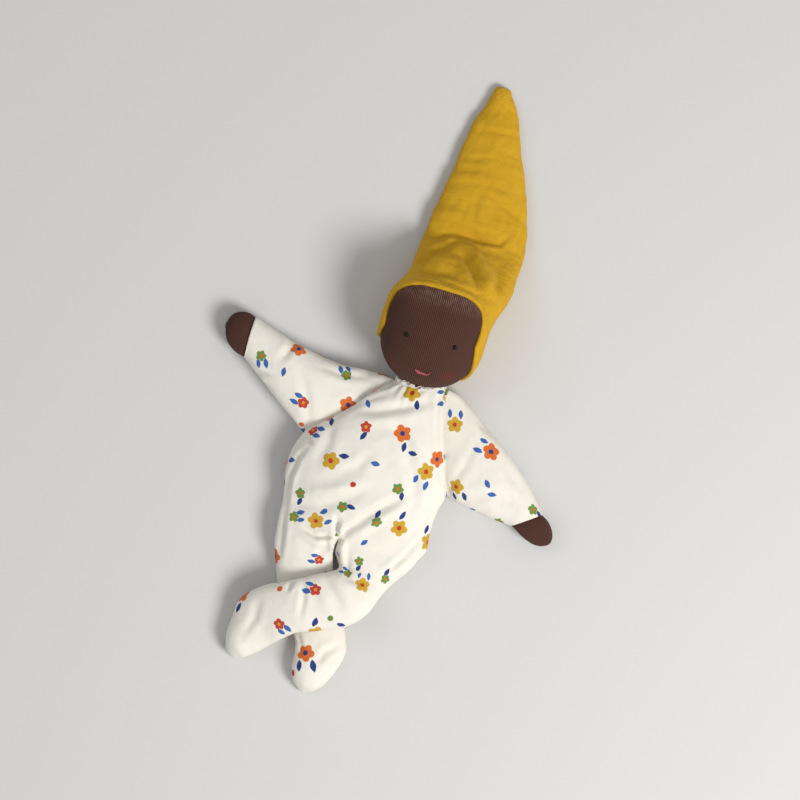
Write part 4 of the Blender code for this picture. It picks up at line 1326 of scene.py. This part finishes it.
# Hem line round the face from below the left ear: angle in degrees, millimetres before the face plane
HEM_LIFTS = ((-60, -14), (-40, -5.5), (-20, 1), (0, 3), (20, 0.5), (40, -2.3), (60, -1.5), (80, 0.2),
             (100, 0.5), (120, 0.3), (140, -1), (160, 1), (175, 3.4), (185, 2.4), (193, -0.5),
             (202, -9), (214, -14), (240, -16))
KNIT_START = radians(13.5)
KNIT_END = radians(176)
NECK_LEAN = radians(14)
LEAN_REACH = radians(75)
GATHER_REACH = radians(22)
CHIN_GATHERS = 19
CHIN_GATHER_SHARE = 0.007


def head_square(up_share):
    return between(LOWER_SQUARE_SHARE, UPPER_SQUARE_SHARE, smooth(up_share * 1.2 + 0.2))


def head_half_sizes(grown=0.0):
    return HEAD_WIDTH / 2 + grown, HEAD_LENGTH / 2 + grown, HEAD_THICKNESS / 2 + grown


def head_fill(place, grown=0.0):
    """Below 1 inside the head's rounded form and above 1 outside, for a place in the head's frame."""
    sizes = head_half_sizes(grown)
    power = head_square(place.y / sizes[1])
    return sum(abs(value / size) ** power for value, size in zip(place, sizes)) ** (1 / power)


def head_surface(direction, grown=0.0):
    """The place where a direction from the head's centre leaves its rounded form."""
    place = direction / head_fill(direction * HEAD_LENGTH / 2 / direction.length, grown) \
        * HEAD_LENGTH / 2 / direction.length
    for _ in range(3):
        place = place / head_fill(place, grown)
    return place


def face_front(side_reach, up_reach, above=0.0):
    """The world point on the face at so far to the left and up, raised above the knit."""
    low, high = 0.0, HEAD_THICKNESS
    for _ in range(30):
        middle = (low + high) / 2
        if head_fill(Vector((side_reach, up_reach, middle))) < 1:
            low = middle
        else:
            high = middle
    return from_head(side_reach, up_reach, low) + face_normal(side_reach, up_reach) * above


def face_normal(side_reach, up_reach):
    across = side_reach / HEAD_WIDTH ** 2
    upward = up_reach / HEAD_LENGTH ** 2
    share = max(1 - (2 * side_reach / HEAD_WIDTH) ** 2 - (2 * up_reach / HEAD_LENGTH) ** 2, 0.05)
    front = sqrt(share) / HEAD_THICKNESS / 2
    return (head_side() * across + head_up() * upward + Vector((0, 0, front))).normalized()


def make_head_skin(material):
    """The head's knit, whose wales run side by side up from the neck over the face."""
    rows = []
    for number in range(HEAD_ROWS + 1):
        polar = between(KNIT_START, KNIT_END, number / HEAD_ROWS)
        lean = Matrix.Rotation(NECK_LEAN * fading((polar - KNIT_START) / LEAN_REACH), 3, "X")
        row = []
        for column in range(HEAD_COLUMNS):
            turn = 2 * pi * column / HEAD_COLUMNS - pi / 2
            way = lean @ Vector((sin(polar) * cos(turn), -cos(polar), sin(polar) * sin(turn)))
            place = head_surface(way)
            gather = fading((polar - KNIT_START) / GATHER_REACH)
            pinch = sin(CHIN_GATHERS * turn + 2 * sin(2 * turn))
            place *= 1 - CHIN_GATHER_SHARE * gather * pinch
            place *= 1 + 0.006 * noise.noise(way * 2.3)
            point = from_head(*place)
            point.z = max(point.z, MUSLIN)
            row.append(point)
        rows.append(row)
    foot = neck_foot()
    towards = (head_centre() - foot).normalized()
    front = head_side().cross(towards).normalized()
    for reach, radius in ((0.0046, 1.02), (0.0030, 0.98)):
        row = []
        for column in range(HEAD_COLUMNS):
            turn = 2 * pi * column / HEAD_COLUMNS - pi / 2
            spoke = head_side() * cos(turn) + front * sin(turn)
            row.append(foot + towards * reach + spoke * NECK_RADIUS * radius)
        rows.insert(0, row)
    flats = []
    height = 0.0
    middle = HEAD_COLUMNS // 2
    for number, row in enumerate(rows):
        if number:
            height += (row[middle] - rows[number - 1][middle]).length
        lengths = [0.0]
        for start, end in zip(row, closed(row)[1:]):
            lengths.append(lengths[-1] + (end - start).length)
        flats.append([(length - lengths[middle], height) for length in lengths])
    piece = ring_mesh("head_knit", rows, flats, material)
    clean_mesh(piece)
    return piece


def face_plane():
    across = (head_side() + Vector((0, 0, FACE_PLANE_ROLL_SHARE))).normalized()
    upward = (head_up() + Vector((0, 0, FACE_PLANE_RISE_SHARE))).normalized()
    return head_centre() + Vector((0, 0, FACE_PLANE_HEIGHT)), across, upward


def face_angle(point):
    """The angle of a point round the face opening, from the left ear over the forehead."""
    origin, across, upward = face_plane()
    away = point - origin
    angle = atan2(away.dot(upward), away.dot(across))
    return angle + 2 * pi if angle < -pi / 2 else angle


def hem_lift(angle):
    """How far the hem's lower line lies before the plane of the face opening, or behind it by the jaw."""
    place = 0
    for (low, _), (high, _) in zip(HEM_LIFTS, HEM_LIFTS[1:]):
        place += min(max((angle - radians(low)) / radians(high - low), 0), 1)
    return row_at(HEM_LIFTS, place)[1] * MM


def on_head(angle, away, above):
    """A point on the head's form grown by so much, so far above the hem's lower line."""
    origin, across, upward = face_plane()
    origin = origin + across.cross(upward).normalized() * (above + hem_lift(angle))
    way = across * cos(angle) + upward * sin(angle)
    low, high = 0.0, HEAD_WIDTH
    for _ in range(32):
        middle = (low + high) / 2
        if head_fill(to_head(origin + way * middle), away) < 1:
            low = middle
        else:
            high = middle
    return origin + way * low


# Threads

def tube(name, lines, material, sides=8, plies=3, twist=0.0016):
    """Round threads along lines of points with a radius each, twisted like yarn."""
    mesh = bmesh.new()
    for line in lines:
        places = [Vector(place) for place, _ in line]
        rings = []
        side = None
        length = 0.0
        for number, (place, radius) in enumerate(line):
            place = Vector(place)
            before = places[max(number - 1, 0)]
            after = places[min(number + 1, len(places) - 1)]
            along = (after - before).normalized()
            if side is None:
                side = along.orthogonal().normalized()
            side = (side - along * side.dot(along)).normalized()
            across = along.cross(side)
            if number:
                length += (place - places[number - 1]).length
            ring = []
            for corner in range(sides * 2):
                angle = pi * corner / sides
                bulge = 1 + 0.14 * cos(plies * angle - 2 * pi * length / twist)
                spoke = (side * cos(angle) + across * sin(angle)) * radius * bulge
                ring.append(mesh.verts.new(place + spoke))
            rings.append(ring)
        for ring, following in zip(rings, rings[1:]):
            for corner in range(len(ring)):
                after = (corner + 1) % len(ring)
                mesh.faces.new((ring[corner], ring[after], following[after], following[corner]))
        mesh.faces.new(rings[0])
        mesh.faces.new(rings[-1])
    bmesh.ops.recalc_face_normals(mesh, faces=mesh.faces[:])
    data = bpy.data.meshes.new(name)
    mesh.to_mesh(data)
    mesh.free()
    data.materials.append(material)
    data.shade_smooth()
    piece = bpy.data.objects.new(name, data)
    bpy.context.collection.objects.link(piece)
    return piece


EYE_STITCHES = ((-0.25, 0.55, 1.05), (0.30, -0.35, 1.10), (0.05, 1.35, 0.95), (-0.10, 2.35, 1.0),
                (0.15, 0.10, 0.85))
EYE_RISE = 0.00042
EYE_STEP = 0.00007
EYE_THREAD = 0.00042


def make_eye(side, material):
    """A knot of a few short stitches laid over each other."""
    reach = EYE_SPACING / 2 * (1 if side == LEFT else -1)
    centre = face_front(reach, -EYE_DROP)
    normal = face_normal(reach, -EYE_DROP)
    level = head_side()
    upward = normal.cross(level).normalized()
    lines = []
    for number, (shift, angle, length) in enumerate(EYE_STITCHES):
        way = level * cos(angle) + upward * sin(angle)
        aside = level * -sin(angle) + upward * cos(angle)
        line = []
        for step in range(11):
            share = 2 * step / 10 - 1
            rise = (EYE_RISE + EYE_STEP * number) * (1 - share ** 2)
            place = centre + way * share * length * MM + aside * shift * MM + normal * rise
            line.append((place, EYE_THREAD * (1 - 0.3 * share ** 2)))
        lines.append(line)
    return tube(SIDE_NAMES[side] + "_eye_stitches", lines, material, twist=0.9 * MM)


MOUTH_STITCHES = ((-1.0, -0.05, 0.46, 0.10), (-0.75, 0.35, 0.42, -0.28), (-0.15, 1.0, 0.34, 0.05))


def make_mouth(material):
    lines = []
    for start, end, radius, drop in MOUTH_STITCHES:
        line = []
        for step in range(19):
            way = step / 18
            share = between(start, end, way)
            side_reach = share * MOUTH_WIDTH / 2
            up_reach = share ** 2 * MOUTH_CURVE - MOUTH_DROP - drop * MM - side_reach * MOUTH_TILT_SHARE
            lift = (0.45 * sin(pi * way) ** 0.4 - 0.05) * MM
            place = face_front(side_reach, up_reach, lift)
            line.append((place, radius * MM * (0.45 + 0.55 * sin(pi * way) ** 0.5)))
        lines.append(line)
    return tube("mouth_stitches", lines, material, twist=2.2 * MM)


GATHER_HALF_SIZES = (0.0104, 0.0066)
LOOSE_ENDS = ((-1.2, 42.4, 21), (4.0, 40.6, 24.5), (16.0, 44.2, 24), (21.6, 46.0, 19))


def make_neck_gather(material):
    """The thread that draws in the collar, with its loops and loose ends."""
    across = Vector((cos(COLLAR_TILT), sin(COLLAR_TILT), 0))
    towards_head = Vector((-across.y, across.x, 0))
    centre = neck_foot() + towards_head * 0.9 * MM
    lines = []
    ring = []
    for step in range(121):
        turn = 2 * pi * step / 120
        wave = 1 + 0.06 * sin(COLLAR_GATHERS * turn)
        place = centre + across * cos(turn) * GATHER_HALF_SIZES[0] * wave
        place += Vector((0, 0, sin(turn) * GATHER_HALF_SIZES[1] * wave))
        place += towards_head * 0.5 * MM * sin(COLLAR_GATHERS * turn + 1)
        ring.append((drawn_up(place), 0.26 * MM))
    lines.append(ring)
    for number, (x, y, z) in enumerate(LOOSE_ENDS):
        root = drawn_up(Vector((x, y, z)) * MM)
        line = []
        for step in range(15):
            turn = between(-0.3, 2.6, step / 14)
            lift = Vector((cos(turn + number), 0.8 * sin(turn + number), 0.5 * sin(turn))) * 1.7 * MM
            line.append((root + lift, 0.16 * MM))
        lines.append(line)
    return tube("neck_gather_thread", lines, material, sides=5, twist=1.1 * MM)


def make_neck_knit(material):
    """The short stem of knit between the collar and the head."""
    foot = neck_foot()
    towards = (head_centre() - foot).normalized()
    front = head_side().cross(towards).normalized()
    rows = []
    flats = []
    for reach, radius in ((-0.0050, 0.80), (-0.0020, 0.96), (0.0004, 0.97), (0.0026, 0.95), (0.0034, 0.7)):
        row = []
        for column in range(72):
            turn = 2 * pi * column / 72
            pinch = 1 + 0.03 * sin(19 * turn)
            row.append(foot + towards * reach + (head_side() * cos(turn) + front * sin(turn))
                       * NECK_RADIUS * radius * pinch)
        rows.append(row)
        flats.append([(column / 72 * 40 * WALE_PITCH, reach * 1.4) for column in range(73)])
    piece = ring_mesh("neck_knit", rows, flats, material)
    clean_mesh(piece, close_ends=True)
    return piece


# Hands

HAND_COLUMNS = 72
HAND_ROWS = 45
HAND_WALES = 54
CUFF_PLACE = 1.3
HAND_TURNS = ((0.0002, 0.85), (0.0003, 0.66), (0.0004, 0.44), (0.0004, 0.22), (0.0004, 0.02))


def make_hand(side, material):
    """A stub of knit from inside the cuff to its rounded end."""
    table = []
    whole = HAND_PLACES[side][2][2]
    for upper, lower, height in HAND_PLACES[side]:
        crown = height * MM
        low = between(-FLAT_DEPTH, whole * MM / 2, (1 - height / whole) ** 1.6)
        seam = between(low, crown, 0.5)
        edges = [Vector(place) * MM for place in (upper, lower)]
        table.append(section(*edges, crown, low, (seam, seam), flatness=0.6))
    rows = []
    for number in range(HAND_ROWS + 1):
        row = row_at(table, (len(table) - 1) * number / HAND_ROWS)
        rows.append([section_point(row, 2 * pi * column / HAND_COLUMNS, 0.8)
                     for column in range(HAND_COLUMNS)])
    centre = sum(rows[-1], Vector()) / HAND_COLUMNS
    along = (centre - sum(rows[-6], Vector()) / HAND_COLUMNS).normalized()
    for reach, narrow in HAND_TURNS:
        rows.append([centre + (point - centre) * narrow + along * reach for point in rows[HAND_ROWS]])
    flats = []
    length = 0.0
    quarter = HAND_COLUMNS // 4
    for number, row in enumerate(rows):
        if number:
            length += (row[quarter] - rows[number - 1][quarter]).length
        flats.append([(column / HAND_COLUMNS * HAND_WALES * WALE_PITCH, length)
                      for column in range(HAND_COLUMNS + 1)])
    for number, row in enumerate(rows):
        place = (len(table) - 1) * number / HAND_ROWS
        lining = COTTON * fading(place - CUFF_PLACE)
        for point in row:
            spoke = (point - centre).normalized()
            point += spoke * 0.3 * MM * noise.noise(point / MM / 4.5)
            point.z = max(point.z, lining)
    piece = ring_mesh(SIDE_NAMES[side] + "_hand_knit", rows, flats, material)
    clean_mesh(piece)
    return piece


# Hat

# Hat's valleys and, below nought, ridges: width, depth and places, in millimetres
HAT_FOLDS = (
    (4.0, 1.6, ((-15, 108), (-3.2, 116), (7, 118.6), (17, 119))),
    (1.3, 1.9, ((-7, 113), (-1, 116.5), (7, 118.4), (14.7, 118.6), (22.1, 120), (25, 125))),
    (1.7, 1.5, ((-14, 91), (-7.9, 101.5), (-0.9, 109.8), (4, 115.5))),
    (2.6, -2.0, ((1, 114.5), (12.3, 111), (21.4, 103.5), (28, 94))),
    (1.8, 1.8, ((3, 112), (8.2, 108.7), (15.2, 102.7), (22, 95))),
    (2.6, -1.3, ((-6, 97.6), (1, 102.5), (6.5, 104.8))),
    (1.7, 1.2, ((-14, 91.5), (-5.2, 94.7), (4.9, 97.5), (15, 97.5))),
    (2.4, 1.1, ((24, 113), (28, 103), (30.5, 88))),
    (1.2, 0.7, ((-10.5, 166), (3.2, 169.1), (14, 171.5))),
    (1.2, 0.6, ((-12, 146), (-2.3, 148.3), (9.5, 150.4))),
    (1.3, 0.8, ((-13, 138), (-2.1, 142.1), (8.3, 144.2), (16.5, 144.6))),
    (1.4, 1.0, ((5.5, 140.6), (15, 138.3), (22.7, 135.7), (31, 134))),
    (1.2, 0.5, ((-11, 152), (0.7, 155.3), (10.5, 160))),
    (1.4, 0.4, ((4.5, 134), (6.9, 124.5))),
    (1.4, 0.4, ((19.3, 137), (22.6, 126))),
    (2.0, 0.5, ((-13, 128), (-4, 130), (2, 129))),
)
HEM_STEPS = 220
HEM_CORNERS = 20
HEM_SWELL_SHARE = 0.10
RIM_OVERLAP = 0.0009
RIM_LIFT = 0.0003
RIM_REACH = 0.0036
FACE_TOP = 0.0262
SMOOTH_HAT_LEVEL = 0.0145
HAT_LUMP = 0.00055
HAT_RIPPLE = 0.00030
HAT_FUZZ = 0.00014


def hat_table():
    """Sections of the hat from the nape over the hood and its fold to the tip."""
    grown = MUSLIN + 2 * CLEARANCE
    table = []
    side = head_side().xy
    for share in NAPE_SHARES:
        round_share = sqrt(1 - share ** 2)
        half = round_share * HEAD_WIDTH / 2 + grown
        rise = round_share * HEAD_THICKNESS / 2 + grown
        place = (head_centre() + head_up() * share * HEAD_LENGTH / 2).xy
        middle = head_centre().z
        table.append(section(place - side * half, place + side * half, middle + rise, middle - rise,
                             (middle, middle), flatness=1.0))
    for way, offset, width, crown, seam in HOOD_SHARES:
        place = (head_centre() + head_up() * way * HOOD_LENGTH + head_side() * offset * HOOD_WIDTH).xy
        half = side * width * HOOD_WIDTH / 2
        seams = (seam * HOOD_HEIGHT,) * 2
        table.append(section(place - half, place + half, crown * HOOD_HEIGHT, -FLAT_DEPTH, seams))
    fold_half = hat_fold_direction().xy * PEAK_WIDTH / 2
    fold = hat_fold_middle().xy
    fold_seam = between(-FLAT_DEPTH, PEAK_THICKNESS, FREE_SEAM_SHARE)
    table.append(section(fold - fold_half, fold + fold_half, PEAK_THICKNESS, -FLAT_DEPTH,
                         (fold_seam, fold_seam)))
    for side_a, way_a, side_b, way_b, height in PEAK_SHARES:
        edges = [fold + Vector((share * PEAK_WIDTH, way * PEAK_LENGTH))
                 for share, way in ((side_a, way_a), (side_b, way_b))]
        crown = height * PEAK_THICKNESS
        seam = between(-FLAT_DEPTH, crown, FREE_SEAM_SHARE)
        table.append(section(*edges, crown, -FLAT_DEPTH, (seam, seam)))
    return table


def make_hat(material):
    """The whole hat as one cloth, cut out round the face."""
    cloth = Cloth()
    table = hat_table()
    rows = []
    for number in range(HAT_ROWS + 1):
        row = row_at(table, (len(table) - 1) * number / HAT_ROWS)
        indices = []
        for column in range(HAT_COLUMNS):
            point = section_point(row, 2 * pi * column / HAT_COLUMNS, 0.95)
            place = to_head(point)
            if place.y < HEAD_LENGTH:
                fill = head_fill(place, MUSLIN + 2 * CLEARANCE)
                if 0 < fill < 1:
                    point = from_head(*(place / fill))
            point.z = max(point.z, 0)
            indices.append(cloth.add(point))
        rows.append(indices)
    close_toes(cloth, rows)
    cloth.sew([closed(row) for row in rows], "hat", lambda place, column: "hat")
    cloth.cut([row[HAT_COLUMNS * 3 // 4] for row in rows])
    face_outwards(cloth)
    soften_hat(cloth)
    origin, across, upward = face_plane()
    front = across.cross(upward).normalized()
    kept = []
    for face in cloth.faces:
        middle = sum((cloth.points[corner] for corner in face[0]), Vector()) / len(face[0])
        level = (middle - origin).dot(front) - hem_lift(face_angle(middle))
        if level < RIM_OVERLAP or to_head(middle).y > FACE_TOP:
            kept.append(face)
    cloth.faces = kept
    snap_rim(cloth)
    lay_flat(cloth)
    normals = net_normals(cloth.points, cloth.faces)
    piece = labelled_piece(cloth, normals, "hat", "hat_cloth", material)
    return piece


def soften_hat(cloth):
    """Folds, lumps and fuzz on the hat, which stays smooth where it is drawn over the head."""
    normals = net_normals(cloth.points, cloth.faces)
    lines = [Fold("hat", *fold) for fold in HAT_FOLDS]
    moved = []
    for point, normal in zip(cloth.points, normals):
        front = min(max(normal.z * 2.2, 0), 1)
        rise = 0.0
        if front > 0:
            rise = sum(fold.height(point.x / MM, point.y / MM) for fold in lines) * MM * front
        free = smooth((to_head(point).y - SMOOTH_HAT_LEVEL) / SMOOTH_HAT_LEVEL)
        place = point / MM
        rise = (rise + HAT_LUMP * noise.noise(place / 8) + HAT_RIPPLE * noise.noise(place / 3.2)) * free
        rise += HAT_FUZZ * noise.noise(place / 1.5)
        target = point + normal * rise
        target.z = max(target.z, 0)
        moved.append(target)
    cloth.points = moved


def snap_rim(cloth):
    """Draws the cut edge of the face opening onto the hem's line, where points that meet are joined."""
    edges = {}
    first_there = {}
    twins = {}
    for corners, _, _ in cloth.faces:
        for start, end in zip(corners, corners[1:] + corners[:1]):
            key = (min(start, end), max(start, end))
            edges[key] = edges.get(key, 0) + 1
    origin, across, upward = face_plane()
    front = across.cross(upward).normalized()
    line = [on_head(radians(angle), MUSLIN + RIM_LIFT, RIM_OVERLAP) for angle in range(-90, 270)]
    for key, count in edges.items():
        if count > 1:
            continue
        for index in key:
            point = cloth.points[index]
            level = (point - origin).dot(front) - hem_lift(face_angle(point))
            if abs(level) > RIM_REACH or to_head(point).y > FACE_TOP + RIM_REACH:
                continue
            nearest = min(range(len(line)), key=lambda place: (line[place] - point).length)
            cloth.points[index] = line[nearest]
            twins[index] = first_there.setdefault(nearest, index)
    joined = []
    for corners, panel, label in cloth.faces:
        corners = [twins.get(corner, corner) for corner in corners]
        corners = [corner for number, corner in enumerate(corners) if corner != corners[number - 1]]
        if len(corners) > 2 and len(set(corners)) == len(corners):
            joined.append((corners, panel, label))
    cloth.faces = joined


def make_hem(material):
    """The turned and rolled edge round the face."""
    rows = []
    flats = []
    length = 0.0
    before = None
    for step in range(HEM_STEPS + 1):
        angle = between(*HEM_ENDS, step / HEM_STEPS)
        swell = 1 + HEM_SWELL_SHARE * noise.noise(Vector((cos(angle), sin(angle), 0)) * 6)
        low = on_head(angle, -HEM_SINK, 0)
        high = on_head(angle, -HEM_SINK, HEM_WIDTH * swell)
        outward = (low - head_centre()).normalized()
        row = []
        for corner in range(HEM_CORNERS):
            turn = 2 * pi * corner / HEM_CORNERS
            thick = outward * (0.5 + 0.5 * sin(turn)) * (HEM_THICKNESS * swell + HEM_SINK + CLEARANCE)
            row.append(low.lerp(high, 0.5 + 0.5 * cos(turn)) + thick)
        if before is not None:
            length += (low - before).length
        before = low
        rows.append(row)
        flats.append([(corner / HEM_CORNERS * 2.4 * HEM_WIDTH, length) for corner in range(HEM_CORNERS + 1)])
    piece = ring_mesh("hat_hem_roll", rows, flats, material)
    clean_mesh(piece, close_ends=True)
    return piece


# Floor, light and camera

PHOTO_TURN = radians(21)
VIEW_CENTRE = (0.0044, 0.0345)
VIEW_WIDTH = 0.3768
CAMERA_HEIGHT = 1.6
SENSOR_WIDTH = 36.0


def make_floor():
    paint = Paint("pale_floor", 0.85)
    grain = paint.noise(paint.solid_place(3.0), 1.0, 4.0)
    colour = paint.mix(grain * 0.3, (0.62, 0.62, 0.62), (0.68, 0.68, 0.67))
    material = paint.finish(colour, paint.bump(grain, 0.05 * MM, 0.2))
    data = bpy.data.meshes.new("floor")
    reach = 3.0
    corners = [(-reach, -reach, 0), (reach, -reach, 0), (reach, reach, 0), (-reach, reach, 0)]
    data.from_pydata(corners, [], [(0, 1, 2, 3)])
    data.materials.append(material)
    floor = bpy.data.objects.new("floor", data)
    floor.location.z = -0.05 * MM
    bpy.context.collection.objects.link(floor)


def picture_way(right, up):
    """A level direction given by the photograph's right and up."""
    across = Vector((cos(PHOTO_TURN), sin(PHOTO_TURN), 0))
    upward = Vector((-sin(PHOTO_TURN), cos(PHOTO_TURN), 0))
    return across * right + upward * up


def make_light(name, place, size, power, colour):
    data = bpy.data.lights.new(name, "AREA")
    data.shape = "DISK"
    data.size = size
    data.energy = power
    data.color = colour
    light = bpy.data.objects.new(name, data)
    light.location = place
    light.rotation_euler = (Vector((0, 0.03, 0)) - Vector(place)).to_track_quat("-Z", "Y").to_euler()
    bpy.context.collection.objects.link(light)


def light_scene():
    world = bpy.data.worlds.new("soft_room")
    world.use_nodes = True
    world.node_tree.nodes["Background"].inputs["Color"].default_value = (1.0, 0.985, 0.965, 1.0)
    world.node_tree.nodes["Background"].inputs["Strength"].default_value = 0.42
    bpy.context.scene.world = world
    key = picture_way(0.75, -0.55) + Vector((0, 0, 1.0))
    make_light("key", key, 0.55, 15.6, (1.0, 0.975, 0.945))
    fill = picture_way(-0.9, 0.5) + Vector((0, 0, 1.2))
    make_light("fill", fill, 1.0, 3.0, (0.92, 0.96, 1.0))


def make_camera():
    data = bpy.data.cameras.new("camera")
    data.sensor_width = SENSOR_WIDTH
    data.lens = SENSOR_WIDTH * CAMERA_HEIGHT / VIEW_WIDTH
    camera = bpy.data.objects.new("camera", data)
    camera.location = (*VIEW_CENTRE, CAMERA_HEIGHT + 0.012)
    camera.rotation_euler = (0, 0, PHOTO_TURN)
    bpy.context.collection.objects.link(camera)
    bpy.context.scene.camera = camera


# Dressing the frame

def dress_romper(material):
    cloth = grow_romper()
    face_outwards(cloth)
    soften(cloth, ROMPER_FOLDS, ROMPER_LUMP, ROMPER_RIPPLE, True)
    lay_flat(cloth)
    normals = net_normals(cloth.points, cloth.faces)
    body = labelled_piece(cloth, normals, "romper_body", "romper_body", material)
    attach(body, "torso")
    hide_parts("romper_front", "romper_back", "torso_stuffing")
    for side in (RIGHT, LEFT):
        name = SIDE_NAMES[side]
        sleeve = labelled_piece(cloth, normals, name + "_sleeve", name + "_sleeve_cloth", material)
        root = (collar_end(side) + armpit(side)) / 2
        start = Vector((*root, RAGLAN_HEIGHT / 2))
        end = start + arm_side(side) * 14 * MM
        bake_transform(sleeve)
        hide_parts(name + "_sleeve", name + "_sleeve_stuffing")
        leg = labelled_piece(cloth, normals, name + "_leg", name + "_leg_cloth", material)
        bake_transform(leg)
        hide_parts(name + "_leg", name + "_leg_stuffing")


def dress_head(knit, muslin, white, black, pink):
    skin = make_head_skin(brown_knit("head_knit", True))
    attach(skin, "head")
    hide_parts("head_skin", "head_ball", "neck_thread")
    neck = make_neck_knit(knit)
    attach(neck, "neck")
    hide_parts("neck_stem")
    for side in (RIGHT, LEFT):
        eye = make_eye(side, black)
        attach(eye, "head")
        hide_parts(SIDE_NAMES[side] + "_eye")
    mouth = make_mouth(pink)
    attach(mouth, "head")
    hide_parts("mouth")
    gather = make_neck_gather(white)
    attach(gather, "torso")
    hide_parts("neck_gather")
    hat = make_hat(muslin)
    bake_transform(hat)
    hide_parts("hat_hood", "hat_peak")
    hem = make_hem(muslin)
    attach(hem, "head")
    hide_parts("hat_hem")


def dress_hands(knit):
    for side in (RIGHT, LEFT):
        hand = make_hand(side, knit)
        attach(hand, SIDE_NAMES[side] + "_arm")
        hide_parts(SIDE_NAMES[side] + "_hand", SIDE_NAMES[side] + "_hand_stuffing")


def main():
    make_floor()
    light_scene()
    make_camera()
    bpy.context.scene.view_settings.view_transform = "Standard"
    cotton = printed_cotton()
    knit = brown_knit("hand_knit", False)
    muslin = mustard_muslin()
    white = twisted_thread("white_thread", WHITE_THREAD, 0.75)
    black = twisted_thread("black_thread", BLACK_THREAD, 0.5, 0.0)
    pink = twisted_thread("pink_thread", PINK_THREAD, 0.55)
    dress_romper(cotton)
    dress_head(knit, muslin, white, black, pink)
    dress_hands(knit)


main()
